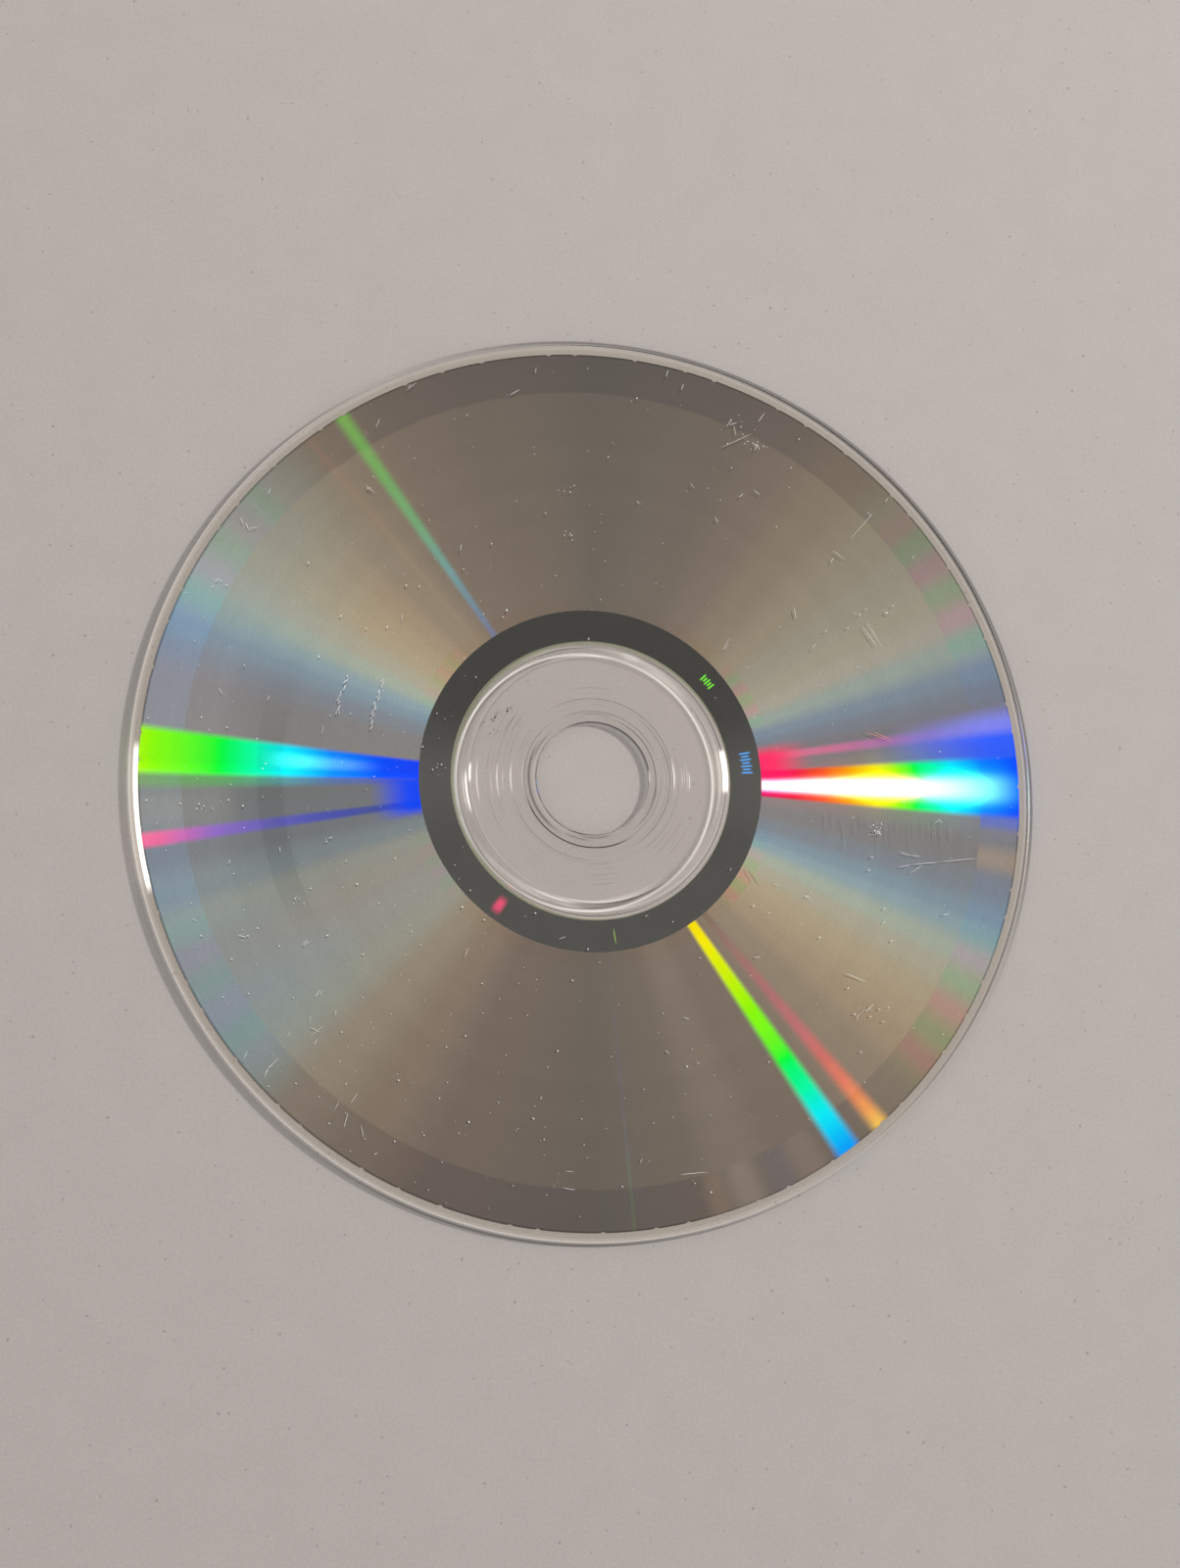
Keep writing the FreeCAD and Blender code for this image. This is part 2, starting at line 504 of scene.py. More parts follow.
def bands_group():
    """The broad, pale colours that the tracks show all round, and their finer swatches in the end zones:
    painted diffraction light that changes with the angle off the streaks' axis.
    """
    w, given, out = new_group(
        "Track Bands",
        [("Radius", "value", 0.0), ("Angle", "value", 0.0), ("Fold", "value", 0.0)],
        [("Color", "colour")],
    )
    radius, angle, fold = given["Radius"], given["Angle"], given["Fold"]
    along = w.spread(radius, BAND_END, FILM_END)
    left = w.window(angle, 90.0, 270.0, 0.01)
    near = w.math("GREATER_THAN", angle, 180.0)
    near_left = w.math("MULTIPLY", left, near)
    far_left = w.math("SUBTRACT", left, near_left)
    near_right = w.math("SUBTRACT", near, near_left)
    # Two of the quarters have their bands farther from the streaks' axis
    lean = w.math("MULTIPLY_ADD", near_right, 2.4, w.math("MULTIPLY", far_left, 3.75))
    own = w.math("SUBTRACT", fold, lean)
    own = w.math("ADD", own, w.spread(along, 0.0, 1.0, 0.3, -0.3))

    def table(stops):
        """The colours of one side."""
        return w.ramp(w.math("DIVIDE", own, BAND_SPAN), [(p / BAND_SPAN, c) for p, c in stops], "EASE")

    warm = w.math("MULTIPLY_ADD", far_left, w.spread(radius, 34.0, 52.0, 1.0, 0.35), near_right)
    bands = w.mix(near_left, w.mix(warm, table(BANDS), table(WARM_BANDS)), table(NEAR_BANDS))
    # The left half turns cooler outwards, and has a painted brightening next to its streak
    cool = w.math("MULTIPLY", w.spread(radius, 36.0, 50.0), w.window(own, 19.0, 42.0, 5.0))
    cool = w.math("MULTIPLY", left, cool)
    bands = w.mix(cool, bands, w.vector("MULTIPLY", bands, (0.95, 1.07, 1.18)))
    bright = w.math("MULTIPLY", left, w.spread(radius, 43.6, 50.0, 0.0, 0.28))
    bright = w.math("MULTIPLY", bright, w.spread(fold, 14.0, 24.0, 1.0, 0.0))
    bands = w.scale(bands, w.math("ADD", 1.0, bright))

    # The lead-in and the outer zone have deeper colours, with green and rose swatches in turn
    lead_in = w.math("LESS_THAN", radius, LEAD_IN_END)
    outer = w.math("GREATER_THAN", radius, PROGRAMME_END)
    deeper = w.math("MULTIPLY_ADD", outer, 0.1, w.math("MULTIPLY_ADD", lead_in, 0.12, 1.0))
    bands = w.add("ShaderNodeHueSaturation", {"Saturation": deeper, "Color": bands}).outputs["Color"]
    step = w.math("SUBTRACT", w.math("MULTIPLY_ADD", near_right, 2.4, own), 22.4)
    beat = w.math("SINE", w.math("MULTIPLY", step, 2 * math.pi / 7.8))
    strength = w.math("MULTIPLY", w.window(own, 19.0, 40.0, 4.0), w.math("ADD", lead_in, outer))
    strength = w.math("MULTIPLY", strength, w.spread(left, 0.0, 1.0, 1.0, 0.5))
    swatch = w.mix(w.spread(beat, -1.0, 1.0), (0.84, 1.08, 0.88, 1.0), (1.16, 0.9, 1.04, 1.0))
    tinted = w.mix(strength, bands, w.vector("MULTIPLY", bands, swatch))
    near_axis = w.math("MULTIPLY", w.math("MULTIPLY", left, outer), w.spread(own, 38.0, 46.0, 1.0, 0.0))
    tinted = w.mix(outer, tinted, w.vector("MULTIPLY", tinted, (1.0, 1.03, 1.12)))
    tinted = w.mix(near_axis, tinted, w.vector("MULTIPLY", tinted, (1.03, 1.1, 1.12)))
    # Painted shade on the outer zone away from the streaks' axis
    shade = w.math("MULTIPLY", outer, w.spread(own, 14.0, 46.0, 0.0, 0.17))
    fade = w.math("SUBTRACT", w.spread(along, 0.0, 1.0, 1.05, 0.93), shade)
    w.feed(out["Color"], w.scale(tinted, fade))


def rings_group():
    """Fine concentric variation and grain of the tracks, as a factor about 1."""
    inputs = [("Radius", "value", 0.0), ("Angle", "value", 0.0)]
    w, given, out = new_group("Track Rings", inputs, [("Value", "value")])
    radius, angle = given["Radius"], given["Angle"]
    fine = w.spread(w.noise(radius, 9.0, 3.0, "1D"), 0.3, 0.7, 0.98, 1.02)
    broad = w.spread(w.noise(radius, 0.35, 1.0, "1D"), 0.3, 0.7, 0.985, 1.015)
    steps = {"X": w.math("MULTIPLY", radius, 7.0), "Y": w.math("MULTIPLY", angle, 0.45)}
    place = w.add("ShaderNodeCombineXYZ", steps).outputs["Vector"]
    arcs = w.spread(w.noise(place, 1.0, 1.0), 0.3, 0.7, 0.97, 1.03)
    grain = w.noise(w.add("ShaderNodeTexCoord").outputs["Object"], 3600.0, 1.0)
    grain = w.spread(grain, 0.3, 0.7, 0.972, 1.028)
    step = w.window(radius, 40.5, 43.7, 0.06)
    side = w.window(angle, 172.0, 205.0, 6.0)
    dark = w.math("SUBTRACT", 1.0, w.math("MULTIPLY", w.math("MULTIPLY", step, side), 0.1))
    value = w.math("MULTIPLY", w.math("MULTIPLY", fine, broad), w.math("MULTIPLY", arcs, grain))
    w.feed(out["Value"], w.math("MULTIPLY", value, dark))


def build_groups():
    """All shared effects, built once."""
    polar_group()
    arc_group()
    offset_group()
    streak_group()
    bands_group()
    rings_group()


# A streak without a bright core: its light, half width, shift, radius of its middle, reach and whiteness
PLAIN_CORE = (0.0, 1.0, 0.0, 38.0, 10.0, 0.0)
CORE_KEYS = ("Core Light", "Core Width", "Core Shift", "Core Middle", "Core Reach", "Core White")


def streak(angles, half, softness, hues, turn, step, lights, cover, core=PLAIN_CORE):
    """One streak's values: its angles at both ends, half width and softness, its hues at the inner end,
    the turn and the outer end, the turn's radius and the step of the hue there, its light at both ends,
    how far it hides the bands under it, and its core."""
    return {
        "Inner Angle": angles[0],
        "Outer Angle": angles[1],
        "Half Width": half,
        "Softness": softness,
        "Inner Colour": hues[0],
        "Middle Colour": hues[1],
        "Outer Colour": hues[2],
        "Colour Turn": turn,
        "Colour Step": step,
        "Inner Light": lights[0],
        "Outer Light": lights[1],
        "Cover": cover,
        **dict(zip(CORE_KEYS, core)),
    }


# The painted bright cores of the widest streak and of the one across from it
RIGHT_CORE = (4.0, 1.75, -0.4, 37.0, 21.0, 2.0)
LEFT_CORE = (0.6, 1.2, 0.0, 35.5, 6.0, 0.09)

# Painted rainbow streaks: the lamp's diffraction light, drawn as glowing wedges
STREAKS = [
    streak((359.5, 360.0), 4.3, 0.14, (0.0, 0.49, 0.82), 43.3, 0.05, (0.85, 0.95), 1.0, RIGHT_CORE),
    streak((359.6, 359.9), 6.6, 0.35, (0.0, 0.49, 0.82), 43.3, 0.05, (0.07, 0.06), 0.0),
    streak((177.85, 177.1), 2.95, 0.22, (0.93, 0.57, 0.46), 47.0, -0.015, (0.95, 0.95), 1.0, LEFT_CORE),
    streak((180.9, 180.5), 1.35, 0.6, (0.93, 0.57, 0.46), 47.0, -0.015, (0.3, 0.22), 0.35),
    streak((8.2, 8.3), 0.9, 0.7, (1.52, 1.28, 1.02), 43.0, 0.0, (0.5, 0.3), 0.25),
    streak((188.8, 188.75), 0.9, 0.55, (0.8, 1.1, 1.45), 43.0, 0.0, (0.1, 0.85), 0.6),
    streak((123.8, 124.2), 0.85, 0.9, (0.76, 0.585, 0.48), 43.0, 0.0, (0.2, 0.27), 0.2),
    streak((129.5, 129.5), 0.6, 0.7, (0.4, 0.3, 0.15), 43.0, 0.0, (0.015, 0.03), 0.0),
    streak((304.1, 304.2), 1.55, 0.5, (0.36, 0.505, 0.72), 43.3, 0.03, (0.95, 0.95), 1.0),
    streak((309.5, 309.6), 1.0, 0.9, (-0.1, 0.04, 0.33), 43.0, 0.0, (0.0, 0.75), 0.2),
    streak((274.3, 274.4), 0.2, 0.8, (1.2, 0.8, 0.5), 43.0, 0.0, (0.03, 0.03), 0.0),
]

# Painted glows of diffraction light beside the streaks: middle radius, half depth, its softness, middle
# angle, half angle, its softness, colour and cover
GLOWS = [
    (22.2, 5.1, 0.65, 5.6, 4.9, 0.5, (255, 24, 96), 0.9),
    (22.2, 4.6, 0.65, 186.0, 5.6, 0.35, (0, 66, 245), 0.95),
    (58.0, 10.0, 0.9, 8.3, 2.1, 0.7, (104, 112, 218), 0.55),
    (58.0, 11.0, 0.9, 5.7, 1.9, 0.5, (0, 80, 245), 0.85),
    (56.1, 2.8, 0.05, 355.1, 1.0, 0.8, (30, 62, 160), 0.4),
    (56.1, 2.8, 0.05, 349.6, 1.5, 0.8, (98, 76, 30), 0.1),
    (56.1, 2.8, 0.1, 299.0, 2.4, 0.8, (70, 60, 52), 0.0),
    (56.1, 2.8, 0.1, 295.0, 1.6, 0.8, (15, 30, 46), 0.0),
    (56.1, 2.8, 0.1, 289.9, 1.9, 0.8, (68, 60, 52), 0.0),
    (56.1, 2.8, 0.1, 285.8, 1.2, 0.8, (58, 42, 24), 0.0),
    (41.0, 18.5, 0.06, 289.5, 4.0, 0.8, (48, 44, 38), 0.0),
    (52.8, 6.0, 0.15, 185.0, 2.6, 0.7, (54, 48, 30), 0.0),
    (56.1, 2.8, 0.1, 185.2, 2.6, 0.8, (52, 42, 14), 0.0),
]

# Small marks in the mirror band, their colours painted as glowing diffraction light, laid out as the glows
# but without cover
MARKS = [
    (21.0, 0.7 - 0.2 * (n % 2), 0.35, 3.4 + 1.2 * n, 0.3, 0.5, (40, 150, 235)) for n in range(7)
]
MARKS += [
    (20.8, 0.5 - 0.15 * (n % 2), 0.35, 38.3 + 1.1 * n, 0.28, 0.5, (110, 240, 10)) for n in range(5)
]
MARKS += [
    (20.9, 0.9, 0.7, 233.4, 1.5, 0.7, (214, 24, 90)),
    (20.9, 0.8, 0.5, 277.2, 0.2, 0.5, (120, 160, 60)),
    (19.0, 0.14, 0.5, 90.4, 0.22, 0.5, (190, 190, 180)),
]
ARC_KEYS = ("Middle Radius", "Half Depth", "Depth Softness", "Middle Angle", "Half Angle", "Angle Softness")


def arc_mask(w, radius, angle, values):
    """One soft-edged patch's mask."""
    given = {"Radius": radius, "Angle": angle, **dict(zip(ARC_KEYS, values))}
    return use_group(w, "Arc Mark", given)["Mask"]


def add_streaks(w, where, base):
    """The light of all the streaks and glows, and the bands that they leave visible."""
    total = (0.0, 0.0, 0.0)
    for values in STREAKS:
        given = {"Radius": where["Radius"], "Angle": where["Angle"], **values}
        lit = use_group(w, "Rainbow Streak", given)
        total = w.vector("ADD", total, lit["Color"])
        base = w.scale(base, w.math("SUBTRACT", 1.0, lit["Cover"]))
    for *shape, colour, cover in GLOWS:
        mask = arc_mask(w, where["Radius"], where["Angle"], shape)
        fresh = w.math("SUBTRACT", 1.0, w.math("MULTIPLY", mask, cover))
        total = w.vector("ADD", w.scale(total, fresh), w.scale(linear(colour)[:3], mask))
        base = w.scale(base, fresh)
    return total, base


def new_material(name):
    """A material's wiring, its Principled node and its output node. Painted light isn't sampled as a lamp."""
    material = bpy.data.materials.new(name)
    material.use_nodes = True
    material.cycles.emission_sampling = "NONE"
    material.node_tree.nodes.clear()
    w = Wiring(material.node_tree)
    surface = w.add("ShaderNodeBsdfPrincipled")
    output = w.add("ShaderNodeOutputMaterial")
    w.feed(output.inputs["Surface"], surface.outputs["BSDF"])
    return material, w, surface, output


# How strongly clear layers bend light, and how much they mirror: the plastic by itself, and where a coat
# backs it
CLEAR_IOR = 1.4
OPEN_SHEEN = 0.85
BACKED_SHEEN = 0.4

# The light that the plastic's top face throws back over the data
SHEEN = 0.0056


def upward(w):
    """How far a face looks up: 1 for the data side and -1 for the label side."""
    normal = w.add("ShaderNodeTexCoord").outputs["Normal"]
    return w.add("ShaderNodeSeparateXYZ", {"Vector": normal}).outputs["Z"]


def data_side_only(w, light):
    """Emitted light, kept to the data side."""
    return w.scale(light, w.math("GREATER_THAN", upward(w), 0.5))


def data_material(look):
    """Mirror film under the tracks: pale bands and bright streaks, both painted diffraction light."""
    material, w, surface, _ = new_material("Data Film")
    where = use_group(w, "Disc Polar")
    radius, angle, fold = where["Radius"], where["Angle"], where["Fold"]
    bands = use_group(w, "Track Bands", {"Radius": radius, "Angle": angle, "Fold": fold})["Color"]
    rings = use_group(w, "Track Rings", {"Radius": radius, "Angle": angle})["Value"]
    own = w.vector("SUBTRACT", w.scale(bands, rings), (SHEEN, SHEEN, SHEEN))
    tracks = w.scale(own, look.data_light)
    edge = w.spread(radius, FILM_END - 0.3, FILM_END - 0.1, 1.0, 0.5)
    light, base = add_streaks(w, where, w.scale(tracks, edge))
    w.feed(surface.inputs["Base Color"], base)
    w.feed(surface.inputs["Metallic"], 1.0)
    rough = look.film_roughness
    w.feed(surface.inputs["Roughness"], w.spread(rings, 0.9, 1.1, rough - 0.02, rough + 0.02))
    light = w.scale(light, w.math("MULTIPLY", rings, look.streak_light))
    w.feed(surface.inputs["Emission Color"], data_side_only(w, light))
    w.feed(surface.inputs["Emission Strength"], 1.0)
    return material


def band_material(look):
    """Mirror film of the plain band inside the tracks, with its small marks and a painted dark reflection."""
    material, w, surface, _ = new_material("Mirror Band")
    where = use_group(w, "Disc Polar")
    radius, angle, fold = where["Radius"], where["Angle"], where["Fold"]
    # Painted reflection: a dark colour for what the mirror reflects, brighter towards -Y and along the
    # streaks' axis
    across = w.math("SINE", w.math("RADIANS", angle))
    painted_reflection = w.spread(across, 0.6, -0.6, 0.9, 1.36)
    painted_reflection = w.math("ADD", painted_reflection, w.spread(fold, 0.0, 28.0, 0.45, 0.0, smooth=True))
    place = w.add("ShaderNodeTexCoord").outputs["Object"]
    mottle_and_painted_glow = w.spread(w.noise(place, 260.0, 3.0), 0.3, 0.7, 0.97, 1.03)
    total = (0.0, 0.0, 0.0)
    for *shape, colour in MARKS:
        total = w.vector("ADD", total, w.scale(linear(colour)[:3], arc_mask(w, radius, angle, shape)))
    w.feed(surface.inputs["Base Color"], w.scale((*look.mirror,), w.math("MULTIPLY", painted_reflection, mottle_and_painted_glow)))
    w.feed(surface.inputs["Metallic"], 1.0)
    w.feed(surface.inputs["Roughness"], look.mirror_roughness)
    w.feed(surface.inputs["Emission Color"], data_side_only(w, total))
    w.feed(surface.inputs["Emission Strength"], 1.0)
    return material


# Middles of the circles that the hub's painted lines of shade and painted rings of light follow, in
# millimetres: the axis and two points beside it
HUB_MIDDLES = [(0.0, 0.0), (-1.079, -0.503), (-1.04, 0.6)]

# Dark lines of painted shade on the hub: which middle, then radius, half depth, its softness, angle, half
# angle, its softness and darkness
HUB_LINES = [
    (0, 9.23, 0.08, 0.4, 249.0, 50.0, 0.2, 1.0),
    (0, 9.15, 0.06, 0.5, 165.0, 34.0, 0.4, 0.55),
    (0, 8.95, 0.06, 0.4, 68.0, 44.0, 0.3, 0.6),
    (0, 9.05, 0.06, 0.5, 330.0, 30.0, 0.4, 0.4),
    (0, 8.38, 0.08, 0.4, 20.0, 46.0, 0.3, 0.75),
    (0, 8.55, 0.08, 0.5, 333.0, 20.0, 0.4, 0.6),
    (0, 8.62, 0.08, 0.5, 86.0, 12.0, 0.5, 0.5),
    (0, 8.56, 0.17, 0.6, 193.0, 40.0, 0.3, 0.75),
    (0, 8.2, 0.13, 0.6, 148.0, 12.0, 0.6, 0.45),
    (0, 8.3, 0.12, 0.6, 254.0, 10.0, 0.6, 0.5),
    (0, 7.95, 0.12, 0.6, 272.0, 14.0, 0.6, 0.5),
    (0, 7.55, 0.08, 0.5, 60.0, 58.0, 0.2, 0.9),
    (0, 7.62, 0.08, 0.5, 172.0, 38.0, 0.4, 0.5),
    (0, 7.64, 0.08, 0.5, 236.0, 24.0, 0.2, 0.85),
    (0, 10.68, 0.07, 0.4, 55.0, 62.0, 0.3, 0.55),
    (0, 10.95, 0.06, 0.5, 232.0, 36.0, 0.4, 0.5),
    (0, 10.25, 0.08, 0.6, 345.0, 40.0, 0.5, 0.35),
    (0, 10.2, 0.08, 0.6, 30.0, 22.0, 0.5, 0.35),
    (0, 11.3, 0.05, 0.6, 260.0, 60.0, 0.6, 0.2),
    (0, 12.15, 0.05, 0.6, 88.0, 12.0, 0.6, 0.4),
    (0, 13.1, 0.07, 0.6, 147.0, 6.0, 0.6, 0.6),
    (0, 12.35, 0.07, 0.6, 145.0, 6.0, 0.6, 0.45),
    (0, 16.62, 0.13, 0.7, 8.0, 34.0, 0.5, 0.5),
    (1, 16.62, 0.32, 0.8, 20.0, 110.0, 0.3, 0.3),
    (0, 16.32, 0.14, 0.8, 138.0, 38.0, 0.4, 0.3),
    (0, 16.47, 0.1, 0.7, 210.0, 28.0, 0.4, 0.35),
    (0, 16.62, 0.14, 0.8, 281.0, 22.0, 0.4, 0.5),
    (0, 17.75, 0.12, 0.8, 98.0, 14.0, 0.5, 0.5),
    (1, 16.8, 0.14, 0.8, 190.0, 80.0, 0.4, 0.45),
    (0, 17.15, 0.45, 0.5, 98.0, 19.0, 0.4, 0.26),
    (0, 17.3, 0.35, 0.5, 152.0, 20.0, 0.5, 0.2),
    (0, 17.0, 0.4, 0.5, 275.0, 15.0, 0.4, 0.32),
    (0, 17.25, 0.5, 0.5, 208.0, 30.0, 0.4, 0.18),
    (0, 18.45, 0.09, 0.8, 140.0, 92.0, 0.3, 0.4),
    (0, 18.36, 0.1, 0.8, 277.0, 16.0, 0.5, 0.3),
]

# Painted rings of light and painted short reflections on the hub, laid out as the dark lines and ending in
# their light
HUB_LIGHTS = [
    (1, 17.09, 0.14, 0.8, 15.0, 180.0, 0.02, 0.2),
    (1, 17.09, 0.19, 0.8, 15.0, 52.0, 0.3, 0.16),
    (1, 17.09, 0.16, 0.8, 98.0, 16.0, 0.5, 0.14),
    (1, 17.14, 0.13, 0.8, 140.0, 20.0, 0.5, 0.15),
    (1, 17.14, 0.26, 0.8, 183.0, 24.0, 0.5, 0.14),
    (1, 17.13, 0.13, 0.8, 270.0, 24.0, 0.5, 0.15),
    (2, 17.05, 0.2, 0.9, 255.0, 40.0, 0.4, 0.13),
    (2, 17.05, 0.3, 0.9, 65.0, 18.0, 0.6, 0.1),
    (2, 17.05, 0.1, 0.9, 100.0, 20.0, 0.6, 0.12),
    (0, 16.5, 0.08, 0.9, 138.0, 36.0, 0.4, 0.08),
    (0, 16.4, 0.11, 0.8, 98.0, 14.0, 0.5, 0.16),
    (0, 16.5, 0.1, 0.8, 52.0, 12.0, 0.5, 0.12),
    (0, 17.2, 0.45, 0.5, 72.0, 3.5, 0.7, 0.1),
    (0, 17.85, 0.08, 0.8, 95.0, 20.0, 0.4, 0.1),
    (0, 17.75, 0.09, 0.8, 228.0, 12.0, 0.5, 0.12),
    (0, 17.4, 0.1, 0.8, 240.0, 7.0, 0.6, 0.14),
    (0, 16.8, 0.12, 0.8, 251.0, 8.0, 0.6, 0.2),
    (0, 16.45, 0.1, 0.8, 272.0, 18.0, 0.4, 0.14),
    (0, 17.3, 0.12, 0.8, 260.0, 5.0, 0.6, 0.12),
    (0, 17.6, 0.1, 0.8, 275.0, 14.0, 0.5, 0.14),
    (0, 7.9, 0.12, 0.7, 200.0, 48.0, 0.4, 0.08),
    (0, 9.42, 0.06, 0.6, 178.0, 9.0, 0.6, 0.15),
    (0, 16.33, 0.09, 0.9, 212.0, 28.0, 0.4, 0.08),
    (0, 16.38, 0.09, 0.9, 281.0, 22.0, 0.4, 0.1),
    (0, 16.72, 0.08, 0.9, 25.0, 34.0, 0.4, 0.1),
    (0, 17.02, 0.07, 0.9, 2.0, 16.0, 0.6, 0.22),
    (0, 17.7, 0.16, 0.9, 325.0, 36.0, 0.4, 0.08),
    (0, 18.1, 0.08, 0.9, 318.0, 30.0, 0.5, 0.06),
    (0, 18.55, 0.06, 0.9, 275.0, 14.0, 0.5, 0.14),
    (0, 10.85, 0.09, 0.7, 3.0, 8.0, 0.7, 0.5),
    (0, 11.95, 0.05, 0.7, 1.0, 5.0, 0.7, 0.22),
    (0, 12.25, 0.05, 0.7, 2.0, 5.0, 0.7, 0.18),
    (0, 12.65, 0.05, 0.7, 2.0, 6.0, 0.7, 0.2),
    (0, 12.9, 0.07, 0.7, 359.0, 4.5, 0.7, 0.45),
    (0, 7.55, 0.08, 0.7, 3.0, 5.0, 0.7, 0.4),
    (0, 10.95, 0.08, 0.7, 181.0, 8.0, 0.7, 0.4),
    (0, 12.0, 0.06, 0.7, 182.0, 6.0, 0.7, 0.15),
    (0, 12.75, 0.07, 0.7, 182.0, 8.0, 0.7, 0.4),
    (0, 13.55, 0.06, 0.7, 184.0, 6.0, 0.7, 0.15),
    (0, 15.4, 0.09, 0.7, 182.5, 8.0, 0.7, 0.3),
    (0, 16.3, 0.13, 0.6, 178.2, 3.8, 0.5, 0.8),
    (0, 16.86, 0.12, 0.6, 187.0, 8.0, 0.4, 0.8),
    (0, 17.25, 0.07, 0.8, 187.0, 7.0, 0.5, 0.3),
    (0, 17.76, 0.36, 0.2, 4.0, 8.6, 0.2, 1.0),
]

# Painted reflections on the rim, laid out as the hub's and all about the axis
RIM_LIGHTS = [
    (0, 59.05, 0.31, 0.2, 185.9, 8.9, 0.12, 0.95),
    (0, 59.8, 0.1, 0.6, 156.0, 30.0, 0.4, 0.12),
    (0, 59.88, 0.1, 0.6, 233.0, 48.0, 0.3, 0.13),
    (0, 59.62, 0.08, 0.7, 100.0, 30.0, 0.4, 0.05),
    (0, 59.85, 0.08, 0.7, 305.0, 24.0, 0.4, 0.06),
    (0, 59.84, 0.07, 0.7, 4.0, 16.0, 0.6, 0.2),
]

# Dark lines of painted shade on the rim, laid out in the same way
RIM_LINES = [
    (0, 59.56, 0.15, 0.5, 10.0, 56.0, 0.4, 0.7),
    (0, 59.97, 0.08, 0.6, 85.0, 34.0, 0.4, 0.25),
]

# Painted contact shadows on the floor where the disc meets it, laid out as the glows and ending in their
# darkness
PAINTED_CONTACT_SHADOWS = [
    (60.3, 0.12, 0.6, 266.0, 28.0, 0.4, 0.4),
    (60.56, 0.19, 0.6, 44.0, 62.0, 0.3, 0.5),
]

# Painted glow that the clear plastic's label face gives off at the hub and at the rim, brightening what shows
# through it
HUB_PAINTED_GLOW = (0.036, 0.029, 0.032)
RIM_PAINTED_GLOW = (0.06, 0.05, 0.048)
NO_PAINTED_GLOW = (0.0, 0.0, 0.0)

# The painted lines and reflections lie on the plastic above this height, in millimetres
PAINTED_FROM = 0.92


def hub_marks(w, angle, radii, table):
    """The sum of a table's patches, each times its strength."""
    total = 0.0
    for middle, *shape, strength in table:
        total = w.math("MULTIPLY_ADD", arc_mask(w, radii[middle], angle, shape), strength, total)
    return total


def finish_clear(w, surface, output, tint, sheen, passed):
    """Clear glass that lamps shine through, so that it throws a light shadow."""
    w.feed(surface.inputs["Base Color"], tint)
    w.feed(surface.inputs["Roughness"], 0.0)
    w.feed(surface.inputs["IOR"], CLEAR_IOR)
    w.feed(surface.inputs["Specular Tint"], (sheen, sheen, sheen, 1.0))
    w.feed(surface.inputs["Transmission Weight"], 1.0)
    through = w.add("ShaderNodeBsdfTransparent", {"Color": passed}).outputs["BSDF"]
    shadow = w.add("ShaderNodeLightPath").outputs["Is Shadow Ray"]
    join = w.add("ShaderNodeMixShader", {0: shadow, 1: surface.outputs["BSDF"], 2: through})
    w.feed(output.inputs["Surface"], join.outputs["Shader"])


def clear_material(name, look, sheen, facing=0.0, mottle_and_painted_glow=NO_PAINTED_GLOW, lines=(), lights=()):
    """Clear moulded plastic with painted dark lines and reflections. Its steep walls hold lamplight back,
    except where they face the lamp: facing is 1 for a wall that looks outwards and -1 for one that looks
    inwards."""
    material, w, surface, output = new_material(name)
    where = use_group(w, "Disc Polar")
    object_place = w.add("ShaderNodeTexCoord").outputs["Object"]
    height = w.add("ShaderNodeSeparateXYZ", {"Vector": object_place}).outputs["Z"]
    upper = w.math("GREATER_THAN", height, PAINTED_FROM * MM)
    lower = w.math("LESS_THAN", height, SUBSTRATE_LOW.z + 0.01 * MM)
    radii = [where["Radius"]]
    if any(row[0] for row in (*lines, *lights)):
        for across, along in HUB_MIDDLES[1:]:
            middle = {"Middle X": across, "Middle Y": along}
            radii.append(use_group(w, "Offset Polar", middle)["Radius"])
    dark = w.spread(w.noise(object_place, 90.0, 2.0), 0.4, 0.7, 0.0, 0.01)
    if lines:
        # Broken fine rings on the flat of the hub, besides the painted shade lines of the table
        fine = w.spread(w.noise(where["Radius"], 7.0, 2.0, "1D"), 0.58, 0.7)
        broken = w.spread(w.noise(object_place, 150.0, 1.0), 0.48, 0.62)
        hub = w.window(where["Radius"], 8.0, 14.6, 0.5)
        fine = w.math("MULTIPLY", w.math("MULTIPLY", fine, broken), w.math("MULTIPLY", hub, 0.4))
        dark = w.math("ADD", dark, w.math("ADD", fine, hub_marks(w, where["Angle"], radii, lines)))
    clear = w.math("SUBTRACT", 1.0, w.math("MULTIPLY", dark, upper))
    if lights:
        # Painted reflections and rings of light on the upper faces, and painted glow from the label face
        light = w.math("MULTIPLY", hub_marks(w, where["Angle"], radii, lights), upper)
        shine = w.vector("ADD", w.scale((1.0, 0.97, 0.92), light), w.scale(mottle_and_painted_glow, lower))
        w.feed(surface.inputs["Emission Color"], shine)
        w.feed(surface.inputs["Emission Strength"], 1.0)
    turn = w.math("RADIANS", w.math("SUBTRACT", where["Angle"], LAMP_SIDE))
    hold = w.spread(w.math("MULTIPLY", w.math("COSINE", turn), facing), -0.3, 0.3, 0.3, 0.97)
    level = w.spread(w.math("ABSOLUTE", upward(w)), 0.4, 0.98, hold, 0.99)
    finish_clear(w, surface, output, w.scale((*look.plastic,), clear), sheen, level)
    return material


